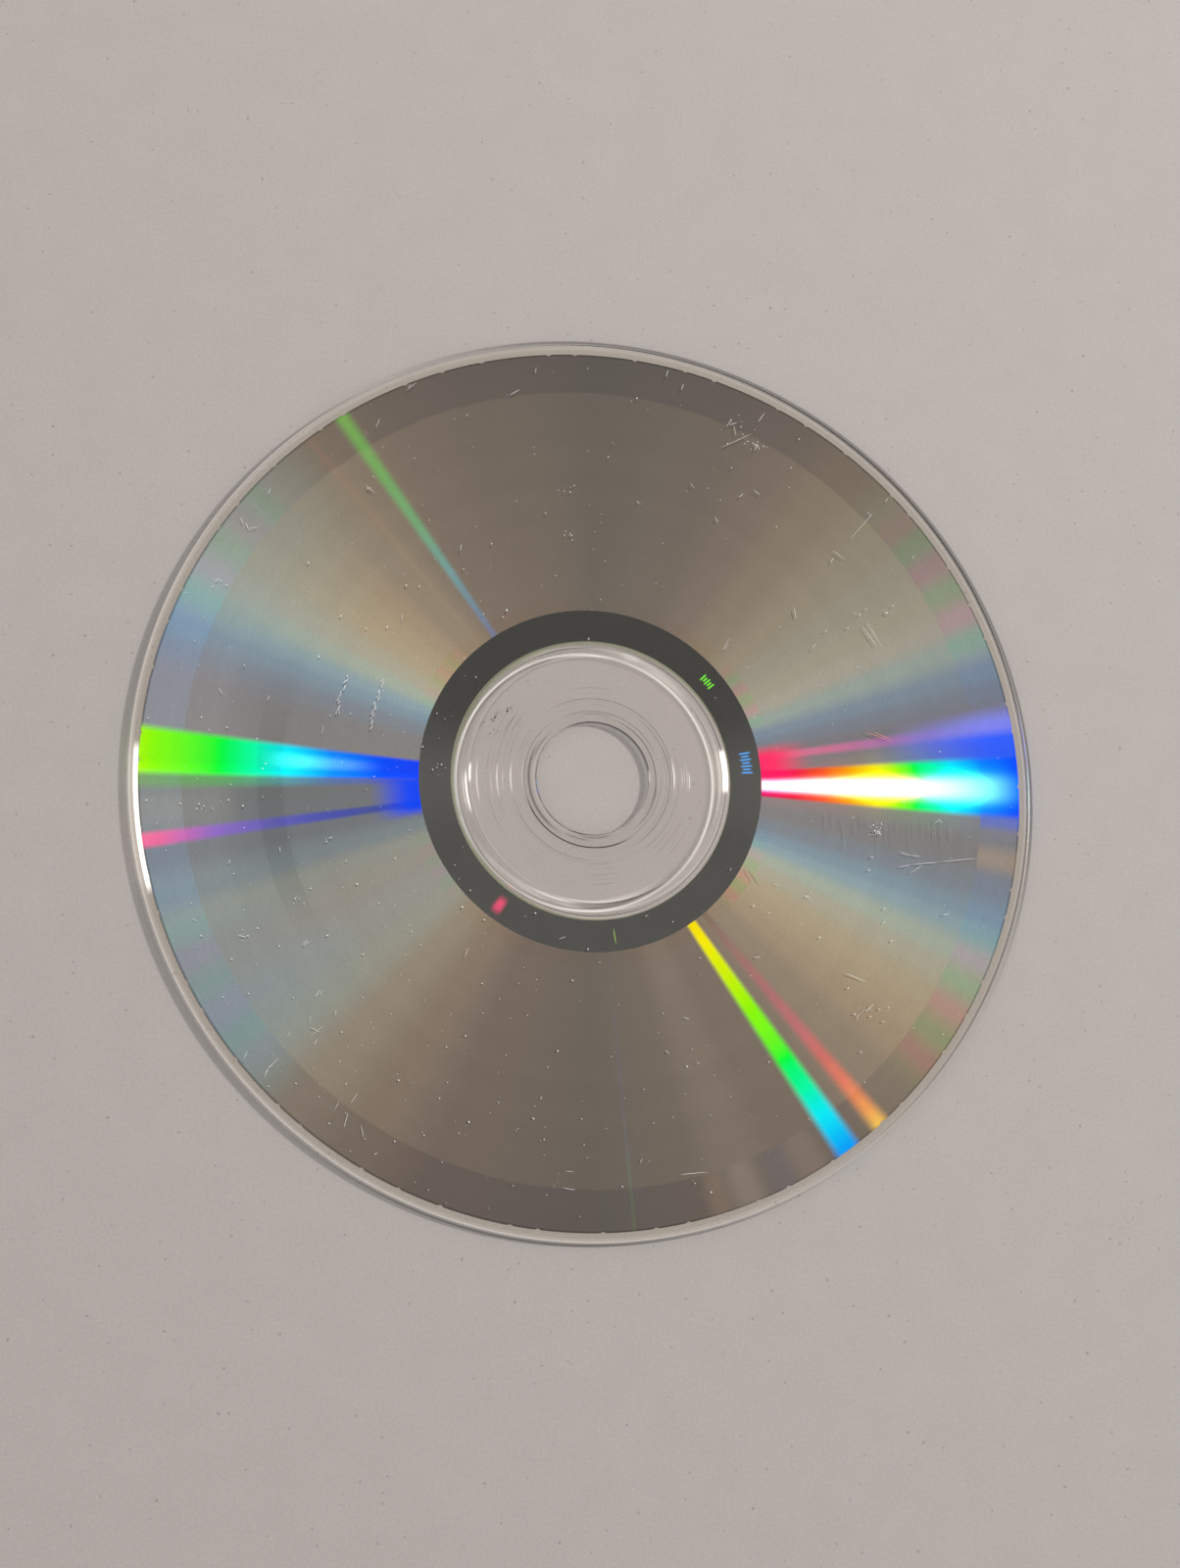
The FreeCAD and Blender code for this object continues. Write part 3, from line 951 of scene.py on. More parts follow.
def lacquer_material(look):
    """Lacquer, yellowish green where it laps the film's inner edge."""
    material, w, surface, output = new_material("Clear Lacquer")
    radius = use_group(w, "Disc Polar")["Radius"]
    lap = w.spread(radius, 18.5, 19.0, 1.0, 0.0, smooth=True)
    lap = w.math("MULTIPLY", lap, w.spread(radius, 17.9, 18.6, 0.4, 1.0))
    tint = w.mix(lap, (*look.lacquer, 1.0), (*look.lap_tint, 1.0))
    finish_clear(w, surface, output, tint, BACKED_SHEEN, (0.98, 0.98, 0.98, 1.0))
    return material


def matte_material(name, tint, roughness, mottle, scale):
    """A matte surface with a little uneven tone."""
    material, w, surface, _ = new_material(name)
    place = w.add("ShaderNodeTexCoord").outputs["Object"]
    tone = w.spread(w.noise(place, scale, 4.0), 0.3, 0.7, 1.0 - mottle, 1.0 + mottle)
    w.feed(surface.inputs["Base Color"], w.scale((*tint,), tone))
    w.feed(surface.inputs["Roughness"], roughness)
    return material


def floor_material(tint):
    """Pale floor: fine grain, a few darker specks, painted contact shadows, and painted light that makes it a
    little lighter towards +X and +Y.
    """
    material, w, surface, _ = new_material("Pale Floor")
    place = w.add("ShaderNodeTexCoord").outputs["Object"]
    fibre = w.spread(w.noise(place, 2600.0, 2.0), 0.3, 0.7, 0.955, 1.045)
    cloud = w.spread(w.noise(place, 160.0, 3.0), 0.3, 0.7, 0.985, 1.015)
    grains = w.spread(w.noise(place, 1500.0, 0.0), 0.80, 0.86, 1.0, 0.72)
    where = use_group(w, "Disc Polar")
    # Painted contact shadows on the floor round the disc's edge
    contact = 1.0
    for *shape, darkness in PAINTED_CONTACT_SHADOWS:
        mask = arc_mask(w, where["Radius"], where["Angle"], shape)
        contact = w.math("MULTIPLY", contact, w.math("MULTIPLY_ADD", mask, -darkness, 1.0))
    # Painted light: the floor a little lighter towards +X and +Y
    slope = w.add("ShaderNodeVectorMath", operation="DOT_PRODUCT")
    w.feed(slope.inputs[0], place)
    w.feed(slope.inputs[1], (0.05, 0.38, 0.0))
    painted_light_slope = w.spread(slope.outputs["Value"], -0.08, 0.08, 0.92, 1.08)
    tone = w.math("MULTIPLY", w.math("MULTIPLY", fibre, cloud), w.math("MULTIPLY", grains, painted_light_slope))
    w.feed(surface.inputs["Base Color"], w.scale((*tint,), w.math("MULTIPLY", tone, contact)))
    w.feed(surface.inputs["Roughness"], 0.9)
    return material


def add_piece(name, mesh, materials):
    """A new piece in the scene from its mesh and materials."""
    for material in materials:
        mesh.materials.append(material)
    mesh.validate()
    piece = bpy.data.objects.new(name, mesh)
    bpy.context.scene.collection.objects.link(piece)
    return piece


def closed_skin(name, loops, corners, materials, limits=()):
    """A ring-shaped solid through closed loops of points. Loops named as corners have sharp edges.
    The materials follow each other outwards, changing at the radii given as limits."""
    loops = np.asarray(loops, float)
    count, steps = loops.shape[:2]
    at = np.arange(count * steps).reshape(count, steps)
    on = np.roll(at, -1, axis=0)
    faces = np.stack([at, np.roll(at, -1, axis=1), np.roll(on, -1, axis=1), on], axis=-1).reshape(-1, 4)
    mesh = bpy.data.meshes.new(name)
    mesh.from_pydata(loops.reshape(-1, 3).tolist(), [], faces.tolist())
    mesh.polygons.foreach_set("use_smooth", [True] * len(mesh.polygons))
    reach = np.hypot(loops[..., 0], loops[..., 1]).mean(axis=1)
    zones = np.searchsorted(np.asarray(limits, float), (reach + np.roll(reach, -1)) / 2)
    mesh.polygons.foreach_set("material_index", np.repeat(zones, steps))
    ends = np.empty(len(mesh.edges) * 2, int)
    mesh.edges.foreach_get("vertices", ends)
    ends = ends.reshape(-1, 2) // steps
    sharp = (ends[:, 0] == ends[:, 1]) & np.isin(ends[:, 0], sorted(corners))
    mesh.attributes.new("sharp_edge", "BOOLEAN", "EDGE").data.foreach_set("value", sharp)
    return add_piece(name, mesh, materials)


class Chips:
    """Many small flat closed chips in one mesh."""

    def __init__(self):
        self.points = []
        self.faces = []
        self.slots = []

    def add(self, outline, low, high, slot=0):
        """One chip from its outline in millimetres and its two levels in metres."""
        start = len(self.points)
        count = len(outline)
        for level in (low, high):
            self.points += [(x * MM, y * MM, level) for x, y in outline]
        self.faces.append([start + n for n in reversed(range(count))])
        self.faces.append([start + count + n for n in range(count)])
        for n in range(count):
            after = (n + 1) % count
            self.faces.append([start + n, start + after, start + count + after, start + count + n])
        self.slots += [slot] * (count + 2)

    def piece(self, name, materials):
        """The finished piece."""
        mesh = bpy.data.meshes.new(name)
        mesh.from_pydata(self.points, [], self.faces)
        mesh.polygons.foreach_set("material_index", self.slots)
        return add_piece(name, mesh, materials)


def fleck_outline(draw, x, y, radius):
    """An uneven six-sided fleck, drawn from the random source."""
    turn = draw.uniform(0, 60)
    outline = []
    for n in range(6):
        way = math.radians(turn + 60 * n)
        reach = radius * draw.uniform(0.55, 1.25)
        outline.append((x + reach * math.cos(way), y + reach * math.sin(way)))
    return outline


def stroke_outline(x1, y1, x2, y2, width):
    """A thin stroke with pointed ends."""
    length = math.hypot(x2 - x1, y2 - y1)
    across = ((y1 - y2) / length, (x2 - x1) / length)
    sides = [], []
    for share_along in (0.2, 0.5, 0.8):
        half = width / 2 * math.sin(math.pi * share_along) ** 0.5
        for side, sign in zip(sides, (-1, 1)):
            side.append(
                (
                    x1 + (x2 - x1) * share_along + sign * half * across[0],
                    y1 + (y2 - y1) * share_along + sign * half * across[1],
                )
            )
    return [(x1, y1)] + sides[0] + [(x2, y2)] + sides[1][::-1]


def circle(radius, height, turns, shift=(0.0, 0.0)):
    """Points of one loop. The radius may differ from turn to turn."""
    radius = np.broadcast_to(radius, turns.shape)
    across = shift[0] + radius * np.cos(turns)
    along = shift[1] + radius * np.sin(turns)
    return np.stack([across, along, np.full(turns.shape, height)], axis=-1)


def arc(centre, radius, start, end, steps=8):
    """Points of the half section round a corner, with angles in degrees."""
    points = []
    for degrees in np.linspace(start, end, steps + 1):
        way = math.radians(degrees)
        points.append((centre[0] + radius * math.cos(way), centre[1] + radius * math.sin(way)))
    return points


def section_loops(runs, turns):
    """Loops through a half section, and the numbers of the loops where two runs meet."""
    loops = []
    corners = []
    for run in runs:
        corners.append(len(loops))
        loops += [circle(radius, height, turns) for radius, height in run[:-1]]
    return loops, corners


def even_turns(segments):
    """Angles of evenly spread steps, in radians."""
    return np.arange(segments) * 2 * math.pi / segments


# How the notches' places and depths vary from one to the next
NOTCH_DRIFT_BEAT = 2.4
NOTCH_DEPTH_BEAT = 1.7
NOTCH_DEPTH_SPREAD = 0.3


def film_outline(sizes):
    """Angles and radii of the film's notched outer edge."""
    radius = FILM_HIGH.x
    half = sizes.notch_width / 2 / radius
    step = 2 * math.pi / sizes.segments
    turns = []
    radii = []
    middles = []
    for number in range(sizes.notches):
        drift = sizes.notch_drift * math.sin(NOTCH_DRIFT_BEAT * number)
        middles.append(math.radians(360 * number / sizes.notches + drift))
    for number, middle in enumerate(middles):
        depth = sizes.notch_depth * (1 - NOTCH_DEPTH_SPREAD * math.sin(NOTCH_DEPTH_BEAT * number) ** 2)
        turns += [middle - half, middle, middle + half]
        radii += [radius, radius - depth, radius]
        last = number + 1 == sizes.notches
        following = middles[0] + 2 * math.pi if last else middles[number + 1]
        between = np.arange(middle + half + step / 2, following - half - step / 2, step)
        turns += list(between)
        radii += [radius] * len(between)
    return np.array(turns), np.array(radii)


def place(piece, slot, *nodes):
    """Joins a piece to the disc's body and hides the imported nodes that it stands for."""
    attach(piece, BODY)
    if nodes:
        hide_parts(*nodes)


# Radii where the moulding's hub ends and its rim starts, in metres
HUB_END = 18.62 * MM
RIM_START = 58.3 * MM


class DISC_OT_substrate(bpy.types.Operator):
    """Adds the clear moulding, turned with its hub rings, bead and rounded rim"""

    bl_idname = "disc.substrate"
    bl_label = "Clear Moulding"

    def execute(self, context):
        sizes = context.scene.disc_sizes
        look = context.scene.disc_finish
        low = SUBSTRATE_LOW.z
        top = SUBSTRATE_HIGH.z - sizes.bead_height
        rim = SUBSTRATE_HIGH.x
        hole = sizes.hole_radius
        cut = sizes.hole_chamfer
        soft = sizes.rim_round
        draft = sizes.recess_depth
        groove_in = sizes.groove_inner
        groove_out = sizes.groove_outer
        groove_roof = low + sizes.groove_depth
        recess_in = sizes.recess_inner
        recess_out = sizes.recess_outer
        recess_floor = top - sizes.recess_depth
        bead_in = sizes.bead_inner
        bead_out = sizes.bead_outer
        crown = sizes.bead_round
        lean = math.degrees(math.acos(1 - sizes.bead_height / 2 / crown))
        flank = crown * math.sin(math.radians(lean))
        high = top + sizes.bead_height
        gate = sizes.gate_width / 2
        runs = [
            [(hole, top - cut), (hole, low + cut)],
            [(hole, low + cut), (hole + cut, low)],
            [(hole + cut, low), (groove_in, low)],
            [(groove_in, low), (groove_in + draft, groove_roof)],
            [(groove_in + draft, groove_roof), (groove_out - draft, groove_roof)],
            [(groove_out - draft, groove_roof), (groove_out, low)],
            [(groove_out, low), (HUB_END, low), (RIM_START, low), (rim - soft, low)],
            arc((rim - soft, low + soft), soft, -90, 0),
            [(rim, low + soft), (rim, top - soft)],
            arc((rim - soft, top - soft), soft, 0, 90),
            [(rim - soft, top), (RIM_START, top), (HUB_END, top), (bead_out, top)],
            arc((bead_out, top + crown), crown, -90 - lean, -90)[::-1]
            + arc((bead_out - 2 * flank, high - crown), crown, 90 - lean, 90)[1:],
            [(bead_out - 2 * flank, high), (bead_in + 2 * flank, high)],
            arc((bead_in + 2 * flank, high - crown), crown, 90, 90 + lean)
            + arc((bead_in, top + crown), crown, -90, -90 + lean)[::-1][1:],
            [(bead_in, top), (recess_out, top)],
            [(recess_out, top), (recess_out - draft, recess_floor)],
            [(recess_out - draft, recess_floor), (recess_in + draft, recess_floor)],
            [(recess_in + draft, recess_floor), (recess_in, top)],
            [(recess_in, top), (sizes.gate_radius + gate, top)],
            [(sizes.gate_radius + gate, top), (sizes.gate_radius, top - sizes.gate_depth)],
            [(sizes.gate_radius, top - sizes.gate_depth), (sizes.gate_radius - gate, top)],
            [(sizes.gate_radius - gate, top), (hole + cut, top)],
            [(hole + cut, top), (hole, top - cut)],
        ]
        loops, corners = section_loops(runs, even_turns(sizes.segments))
        zones = [
            clear_material("Clear Hub", look, OPEN_SHEEN, -1.0, HUB_PAINTED_GLOW, HUB_LINES, HUB_LIGHTS),
            clear_material("Clear Plastic", look, BACKED_SHEEN),
            clear_material("Clear Rim", look, OPEN_SHEEN, 1.0, RIM_PAINTED_GLOW, RIM_LINES, RIM_LIGHTS),
        ]
        moulding = closed_skin("clear_moulding", loops, corners, zones, (HUB_END, RIM_START))
        place(moulding, "clear_plastic", "substrate")
        return {"FINISHED"}


# The film's faces lie this far inside the plastic on both sides, as a bonded layer's do
BOND = 0.002 * MM


class DISC_OT_film(bpy.types.Operator):
    """Adds the mirror film with its notched outer edge"""

    bl_idname = "disc.film"
    bl_label = "Mirror Film"

    def execute(self, context):
        sizes = context.scene.disc_sizes
        turns, outline = film_outline(sizes)
        low = FILM_LOW.z - BOND
        high = FILM_HIGH.z + BOND
        loops = [
            circle(sizes.film_inner, low, turns),
            circle(BAND_END * MM, low, turns),
            circle(outline, low, turns),
            circle(outline, high, turns),
            circle(BAND_END * MM, high, turns),
            circle(sizes.film_inner, high, turns),
        ]
        look = context.scene.disc_finish
        zones = [band_material(look), data_material(look)]
        film = closed_skin("mirror_film", loops, (0, 2, 3, 5), zones, (BAND_END * MM,))
        place(film, "mirror_film", "reflective_layer")
        return {"FINISHED"}


class DISC_OT_lacquer(bpy.types.Operator):
    """Adds the lacquer of the label side, which laps both edges of the film"""

    bl_idname = "disc.lacquer"
    bl_label = "Lacquer"

    def execute(self, context):
        sizes = context.scene.disc_sizes
        look = context.scene.disc_finish
        turns, outline = film_outline(sizes)
        low = COAT_LOW.z
        under = FILM_LOW.z
        high = COAT_HIGH.z - BOND
        way = math.radians(sizes.lap_side)
        shift = (sizes.lap_shift * math.cos(way), sizes.lap_shift * math.sin(way))
        inner = sizes.film_inner - sizes.lap
        loops = [
            circle(inner, low, turns, shift),
            circle(COAT_HIGH.x, low, turns),
            circle(COAT_HIGH.x, high, turns),
            circle(outline, high, turns),
            circle(outline, under, turns),
            circle(sizes.film_inner, under, turns),
            circle(sizes.film_inner, high, turns),
            circle(inner, high, turns, shift),
        ]
        coat = closed_skin("label_lacquer", loops, range(len(loops)), [lacquer_material(look)])
        place(coat, "lacquer", "lacquer_coat")
        return {"FINISHED"}


# Fine scratches on the data face, each from one place to another, in millimetres
SCUFFS = [
    (-6.8, 56.4, -7.0, 55.4), (-23.0, 53.5, -24.4, 52.2), (-23.8, 53.2, -24.2, 52.6),
    (-27.9, 48.2, -28.5, 46.7), (-29.9, 38.9, -28.5, 37.8), (-29.7, 38.3, -29.1, 38.6),
    (-46.2, 33.9, -45.8, 33.0), (-45.5, 33.2, -45.1, 32.3), (-45.2, 32.3, -43.8, 32.7),
    (-42.3, 38.0, -42.6, 37.0), (-24.9, 21.6, -25.2, 20.5), (-35.2, 6.4, -35.5, 5.1),
    (-33.2, 7.7, -33.4, 8.9), (-17.1, 31.3, -17.4, 30.2), (-9.1, 53.1, -10.5, 52.2),
    (-42.2, 10.2, -42.5, 9.4), (-48.7, 11.0, -48.2, 10.1), (-33.5, -30.4, -33.8, -31.2),
    (-35.6, -27.9, -36.2, -28.9), (-35.3, -28.0, -35.6, -28.6), (-36.7, -31.1, -37.0, -32.1),
    (-35.9, -34.1, -36.3, -34.9), (-35.0, -32.4, -36.9, -33.9), (-36.9, -32.6, -35.5, -33.3),
    (-39.3, -33.2, -39.7, -33.9), (-41.7, -37.2, -42.6, -39.1), (-40.7, -36.4, -42.6, -38.5),
    (-44.6, -35.6, -45.1, -36.7), (-30.8, -40.9, -31.8, -42.3), (-33.1, -41.9, -33.8, -43.1),
    (-32.0, -43.2, -32.6, -45.4), (-30.4, -44.9, -30.1, -46.5), (-30.1, -46.5, -29.7, -46.8),
    (-28.3, -48.4, -28.8, -48.6), (-37.2, -21.5, -37.9, -22.4), (-37.0, -21.7, -37.7, -22.5),
    (-45.9, -21.0, -44.9, -21.3), (-16.7, -22.5, -17.2, -23.8), (-4.9, -21.3, -3.9, -20.9),
    (-4.9, -53.0, -3.3, -53.3), (-4.5, -50.9, -3.4, -51.0), (-47.0, -11.3, -47.2, -12.0),
    (-40.8, -9.6, -40.7, -10.4), (-38.4, -16.1, -38.2, -16.4), (-51.7, -18.9, -51.1, -19.3),
    (11.4, 56.9, 11.0, 55.8), (13.5, 55.0, 13.1, 54.0), (20.1, 50.2, 19.2, 49.0),
    (20.3, 49.5, 20.6, 47.8), (19.6, 49.3, 20.9, 49.8), (23.7, 46.9, 23.0, 45.7),
    (23.4, 46.9, 23.9, 45.9), (14.0, 40.9, 14.6, 40.2), (22.8, 40.3, 23.7, 39.6),
    (21.4, 39.7, 20.7, 39.1), (38.7, 37.8, 39.3, 37.1), (41.8, 39.9, 41.3, 39.2),
    (33.6, 32.1, 35.4, 30.9), (33.7, 31.1, 33.3, 30.4), (45.2, 31.8, 44.7, 31.3),
    (27.9, 24.1, 28.2, 22.3), (37.9, 22.4, 40.1, 18.7), (37.3, 21.8, 39.5, 18.6),
    (32.5, 21.0, 32.1, 20.6), (30.9, 19.1, 30.0, 18.0), (19.1, 19.6, 17.5, 17.5),
    (18.0, 17.8, 18.7, 18.6), (17.3, 36.3, 17.8, 35.4), (6.7, 38.1, 6.9, 37.7),
    (39.7, 37.8, 35.8, 33.4), (24.8, 51.4, 23.7, 49.9), (23.1, 48.4, 18.3, 46.0),
    (41.0, -11.4, 42.9, -11.0), (42.8, -11.0, 46.7, -10.6), (46.7, -10.6, 52.2, -10.0),
    (42.4, -12.3, 44.5, -11.0), (41.3, -9.3, 42.9, -9.8), (42.8, -9.7, 44.3, -9.9),
    (46.8, -4.7, 47.5, -5.3), (46.3, -5.3, 47.0, -5.0), (36.6, -29.8, 35.9, -30.6),
    (36.0, -30.2, 35.0, -30.8), (35.0, -30.7, 34.5, -31.7), (36.2, -30.0, 36.5, -30.4),
    (33.1, -25.5, 36.1, -26.7), (20.9, -23.6, 21.8, -23.4), (34.8, -35.7, 35.1, -36.1),
    (38.0, -31.8, 38.4, -32.1), (5.5, -49.4, 5.2, -50.0), (10.2, -51.5, 14.1, -51.2),
    (38.5, -6.2, 38.8, -7.2), (38.0, -6.7, 39.1, -7.0), (46.9, -17.8, 47.9, -17.5),
    (11.3, -31.4, 12.1, -31.6), (6.5, -18.3, 7.0, -18.0), (18.3, -11.7, 18.0, -12.1),
    (12.9, -37.1, 13.3, -37.4), (8.9, -35.6, 9.3, -36.1),
]
# Scratches whose rose and green colours are painted diffraction light
ROSE_SCUFFS = [(37.1, 7.0, 40.6, 5.8), (38.3, 7.0, 41.0, 5.9), (40.6, 5.8, 41.0, 5.9)]
LEAF_SCUFFS = [(20.1, -11.4, 21.3, -13.7), (20.6, -11.4, 22.3, -13.9)]

# Bundles of short slanting strokes: from one place to another, how many, and their length
BUNDLES = [(-32.2, 12.9, -33.6, 8.0, 12, 0.7), (-27.7, 12.4, -29.3, 6.2, 16, 0.85)]
BUNDLE_WAY = 62
BUNDLE_WIDTH = 0.09

# Faint upright hairlines in a row: how many, where the first stands, their spacing, where they start and
# their width
HAIRLINES = 18
HAIR_FIRST = 31.0
HAIR_STEP = 1.04
HAIR_TOP = -3.4
HAIR_WIDTH = 0.024

# Clusters of dust: place, spread and how many
CLUSTERS = [
    (-38.4, -16.3, 0.4, 5), (-8.8, -45.1, 1.4, 7), (20.5, 48.6, 1.3, 12), (41.0, 23.6, 0.4, 6),
    (37.1, 23.8, 0.4, 4), (38.5, -6.8, 0.8, 16), (24.3, -14.0, 0.4, 4), (28.6, -15.3, 0.3, 4),
    (-48.1, 25.4, 0.5, 5), (-2.9, 32.8, 0.5, 6), (-20.3, 1.2, 0.4, 5), (-2.8, 39.9, 0.5, 5),
    (-51.0, -5.0, 0.5, 5), (-34.9, -8.5, 0.4, 4), (-45.5, -21.0, 0.8, 6), (-48.9, -33.6, 0.2, 2),
    (36.0, -30.5, 0.9, 10), (23.4, 46.4, 0.8, 8),
]

# Dirt on the hub: place, spread and how many
DIRT = [(-11.2, 9.0, 0.35, 7), (-13.2, 7.4, 0.3, 4), (-13.3, 5.6, 0.35, 6)]

# How deep flecks and scratches are sunk into the data face, in millimetres
SUNK = 0.004


class DISC_OT_dust(bpy.types.Operator):
    """Adds the dust flecks, fine scratches and dirt specks on the data face"""

    bl_idname = "disc.dust"
    bl_label = "Dust and Scratches"

    def execute(self, context):
        look = context.scene.disc_finish
        self.face = SUBSTRATE_HIGH.z - context.scene.disc_sizes.bead_height
        self.draw_source = random.Random(7)
        flecks = Chips()
        self.scatter(flecks, look.flecks)
        for x, y, spread, count in CLUSTERS:
            self.heap(flecks, x, y, spread, count, 0.04, 0.1)
        dust = matte_material("Dust", look.fleck, 0.8, 0.1, 900.0)
        place(flecks.piece("dust_flecks", [dust]), "clear_plastic")
        scuffs = Chips()
        self.scratch(scuffs)
        tints = {
            "Scuffs": look.scuff,
            "Rose Scuffs": look.rose_scuff,
            "Leaf Scuffs": look.leaf_scuff,
            "Hairlines": look.hair_scuff,
        }
        strokes = [matte_material(name, tint, 0.7, 0.1, 900.0) for name, tint in tints.items()]
        place(scuffs.piece("fine_scratches", strokes), "clear_plastic")
        dirt = Chips()
        for x, y, spread, count in DIRT:
            self.heap(dirt, x, y, spread, count, 0.05, 0.13)
        grime = matte_material("Dirt", look.dirt, 0.9, 0.2, 900.0)
        place(dirt.piece("hub_dirt", [grime]), "clear_plastic")
        return {"FINISHED"}

    def lay(self, chips, x, y, radius):
        """One fleck that lies on the data face."""
        outline = fleck_outline(self.draw_source, x, y, radius)
        height = self.draw_source.uniform(0.012, 0.03) * MM
        chips.add(outline, self.face - SUNK * MM, self.face + height)

    def heap(self, chips, x, y, spread, count, low, high):
        """A loose cluster of flecks."""
        draw = self.draw_source
        for _ in range(count):
            self.lay(chips, draw.gauss(x, spread), draw.gauss(y, spread), draw.uniform(low, high))

    def scatter(self, chips, count):
        """Flecks all over the tracks, most of them on the left and lower left."""
        draw = self.draw_source
        laid = 0
        while laid < count:
            radius = math.sqrt(draw.uniform(19.2**2, 58.2**2))
            angle = draw.uniform(0, 360)
            lean = 0.5 + 0.5 * math.cos(math.radians(angle - 200))
            if draw.random() > 0.25 + 0.75 * lean**2:
                continue
            x = radius * math.cos(math.radians(angle))
            y = radius * math.sin(math.radians(angle))
            self.lay(chips, x, y, 0.042 + 0.075 * draw.random() ** 3)
            laid += 1

    def scratch(self, chips):
        """Single scratches, bundles of strokes and faint hairlines."""
        draw = self.draw_source
        low = self.face - SUNK * MM
        high = self.face + 0.008 * MM
        for slot, table in enumerate((SCUFFS, ROSE_SCUFFS, LEAF_SCUFFS)):
            for line in table:
                chips.add(stroke_outline(*line, draw.uniform(0.045, 0.07)), low, high, slot)
        for x1, y1, x2, y2, count, length in BUNDLES:
            for n in range(count):
                at = (n + draw.uniform(-0.3, 0.3)) / (count - 1)
                x = x1 + (x2 - x1) * at + draw.gauss(0, 0.12)
                y = y1 + (y2 - y1) * at
                way = math.radians(draw.gauss(BUNDLE_WAY, 6))
                half = length / 2 * draw.uniform(0.6, 1.2)
                across = half * math.cos(way)
                along = half * math.sin(way)
                ends = (x - across, y - along, x + across, y + along)
                chips.add(stroke_outline(*ends, BUNDLE_WIDTH), low, high)
        for n in range(HAIRLINES):
            x = HAIR_FIRST + HAIR_STEP * n + draw.uniform(-0.4, 0.4)
            start = HAIR_TOP - draw.uniform(0.0, 2.0)
            end = start - draw.uniform(1.5, 5.5)
            chips.add(stroke_outline(x, start, x + 0.05, end, HAIR_WIDTH), low, high, 3)


# The floor's reach and how far it lies under the disc, in metres
FLOOR_REACH = 3.0
FLOOR_DROP = 0.02 * MM

# The photograph's height, and how far its middle lies from the camera's axis, in pixels
PHOTO_HEIGHT = 1600
MIDDLE_SHIFT = (-1.64, -4.28)


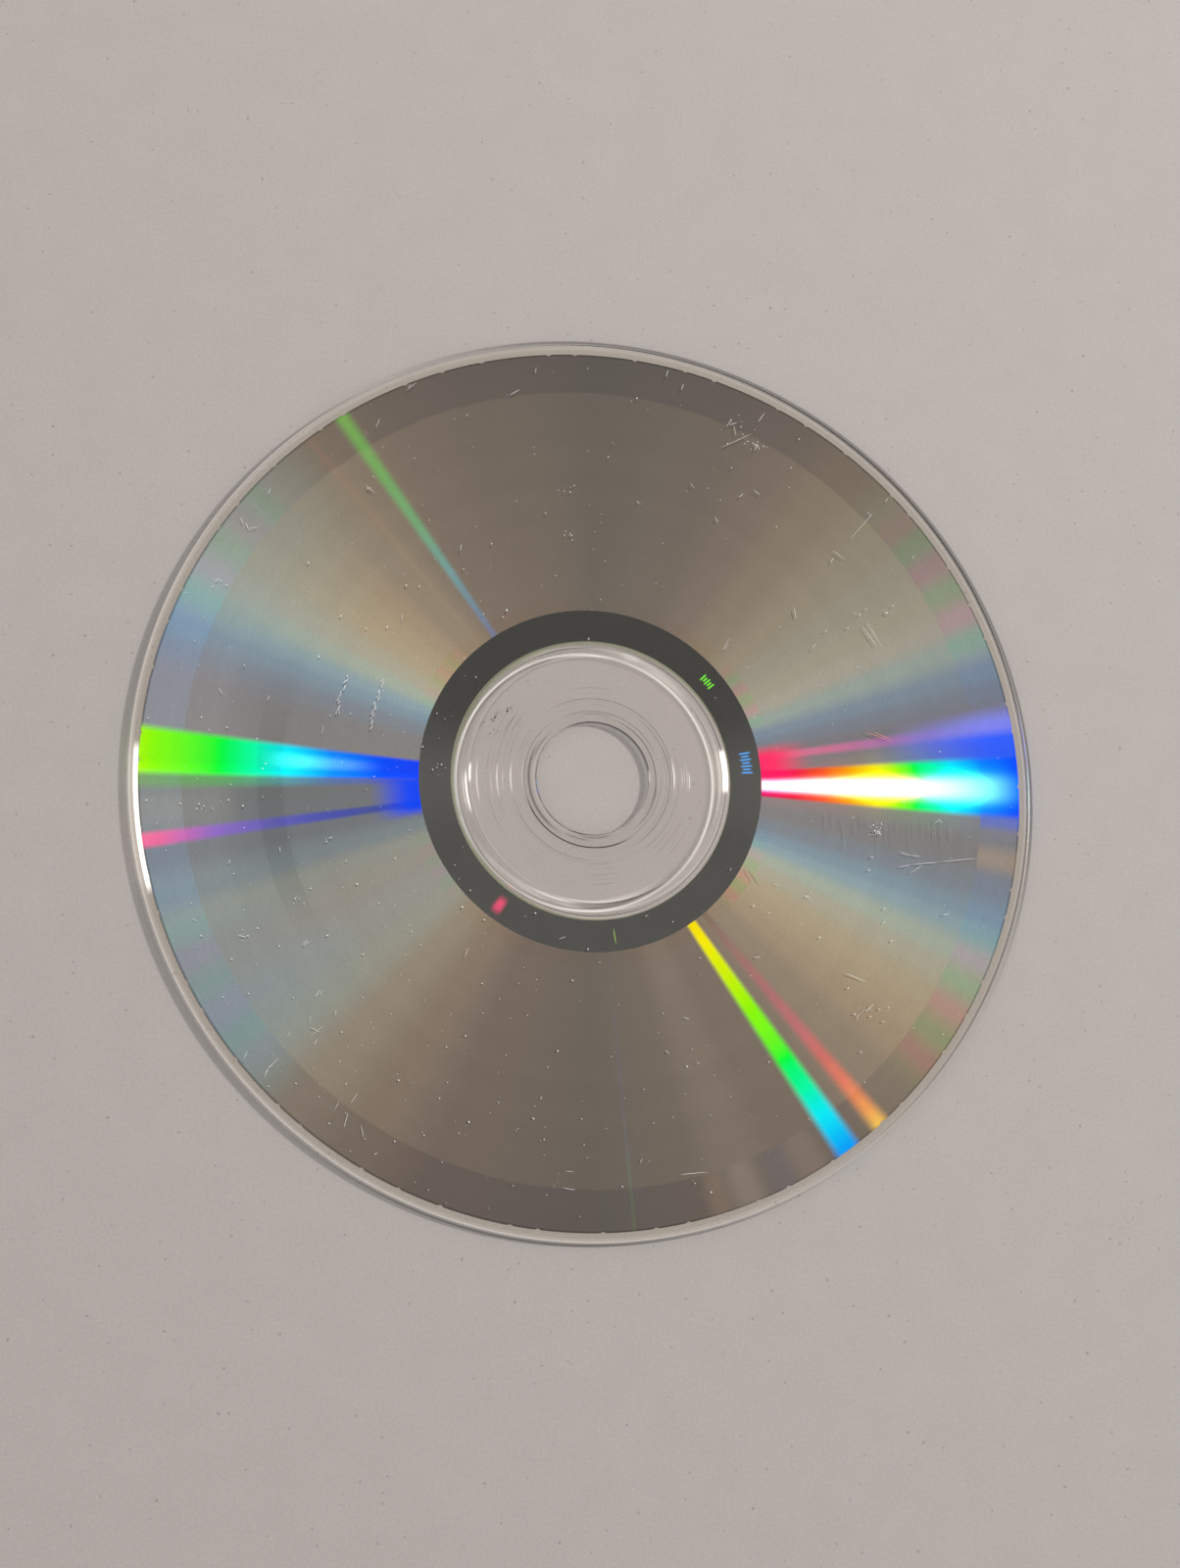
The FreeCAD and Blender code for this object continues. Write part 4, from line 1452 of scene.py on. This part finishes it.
class DISC_OT_stage(bpy.types.Operator):
    """Adds the floor, the light and the camera"""

    bl_idname = "disc.stage"
    bl_label = "Studio"

    def execute(self, context):
        scene = context.scene
        studio = scene.disc_studio
        self.add_floor(studio)
        self.add_light(scene, studio)
        self.add_camera(scene, studio)
        scene.view_settings.view_transform = "Standard"
        return {"FINISHED"}

    def add_floor(self, studio):
        """A wide pale sheet just under the disc."""
        points = circle(FLOOR_REACH, -FLOOR_DROP, even_turns(96)).tolist()
        mesh = bpy.data.meshes.new("floor")
        mesh.from_pydata(points, [], [list(range(len(points)))])
        add_piece("floor", mesh, [floor_material(studio.floor)])

    def add_light(self, scene, studio):
        """Even light from all round and one soft lamp from the right."""
        world = bpy.data.worlds.new("Studio")
        world.use_nodes = True
        world.node_tree.nodes.clear()
        w = Wiring(world.node_tree)
        fill = w.add("ShaderNodeBackground", {"Color": (1.0, 1.0, 1.0, 1.0), "Strength": studio.fill})
        w.add("ShaderNodeOutputWorld", {"Surface": fill.outputs["Background"]})
        scene.world = world
        lamp = bpy.data.lights.new("key", "AREA")
        lamp.shape = "DISK"
        lamp.size = studio.key_size
        lamp.energy = studio.key_power
        key = bpy.data.objects.new("key", lamp)
        scene.collection.objects.link(key)
        key.visible_camera = False
        key.visible_glossy = False
        key.visible_transmission = False
        turn = math.radians(studio.key_azimuth)
        rise = math.radians(studio.key_elevation)
        way = Vector((math.cos(rise) * math.cos(turn), math.cos(rise) * math.sin(turn), math.sin(rise)))
        key.location = way * studio.key_distance
        key.rotation_euler = way.to_track_quat("Z", "Y").to_euler()

    def add_camera(self, scene, studio):
        """The photograph's view: from above, leaning a little to the lower left."""
        tilt = math.radians(studio.camera_tilt)
        turn = math.radians(studio.camera_azimuth)
        data = bpy.data.cameras.new("camera")
        data.lens = studio.camera_lens
        data.sensor_width = 36.0
        data.shift_x = MIDDLE_SHIFT[0] / PHOTO_HEIGHT
        data.shift_y = MIDDLE_SHIFT[1] / PHOTO_HEIGHT
        data.clip_start = 0.01
        camera = bpy.data.objects.new("camera", data)
        scene.collection.objects.link(camera)
        lean = Matrix.Rotation(tilt, 4, Vector((-math.sin(turn), math.cos(turn), 0.0)))
        camera.matrix_world = lean @ Matrix.Translation((0.0, 0.0, studio.camera_distance))
        scene.camera = camera


class DISC_PT_panel(bpy.types.Panel):
    """Lists the pieces of the compact disc"""

    bl_idname = "DISC_PT_panel"
    bl_label = "Compact Disc"
    bl_space_type = "VIEW_3D"
    bl_region_type = "UI"
    bl_category = "Compact Disc"

    def draw(self, context):
        layout = self.layout
        for operator in OPERATORS:
            layout.operator(operator.bl_idname)
        for name, _ in SETTINGS:
            group = getattr(context.scene, name)
            box = layout.box()
            for key in group.bl_rna.properties.keys():
                if key not in {"rna_type", "name"}:
                    box.prop(group, key)


OPERATORS = [DISC_OT_substrate, DISC_OT_film, DISC_OT_lacquer, DISC_OT_dust, DISC_OT_stage]
SETTINGS = [("disc_sizes", DiscSizes), ("disc_finish", DiscFinish), ("disc_studio", StudioSettings)]


def register():
    for _, group in SETTINGS:
        bpy.utils.register_class(group)
    for kind in [*OPERATORS, DISC_PT_panel]:
        bpy.utils.register_class(kind)
    for name, group in SETTINGS:
        setattr(bpy.types.Scene, name, PointerProperty(type=group))


def unregister():
    for name, _ in SETTINGS:
        delattr(bpy.types.Scene, name)
    for kind in reversed([*OPERATORS, DISC_PT_panel]):
        bpy.utils.unregister_class(kind)
    for _, group in reversed(SETTINGS):
        bpy.utils.unregister_class(group)


def main():
    register()
    build_groups()
    for operator in OPERATORS:
        group, name = operator.bl_idname.split(".")
        getattr(getattr(bpy.ops, group), name)()


if __name__ == "__main__":
    main()
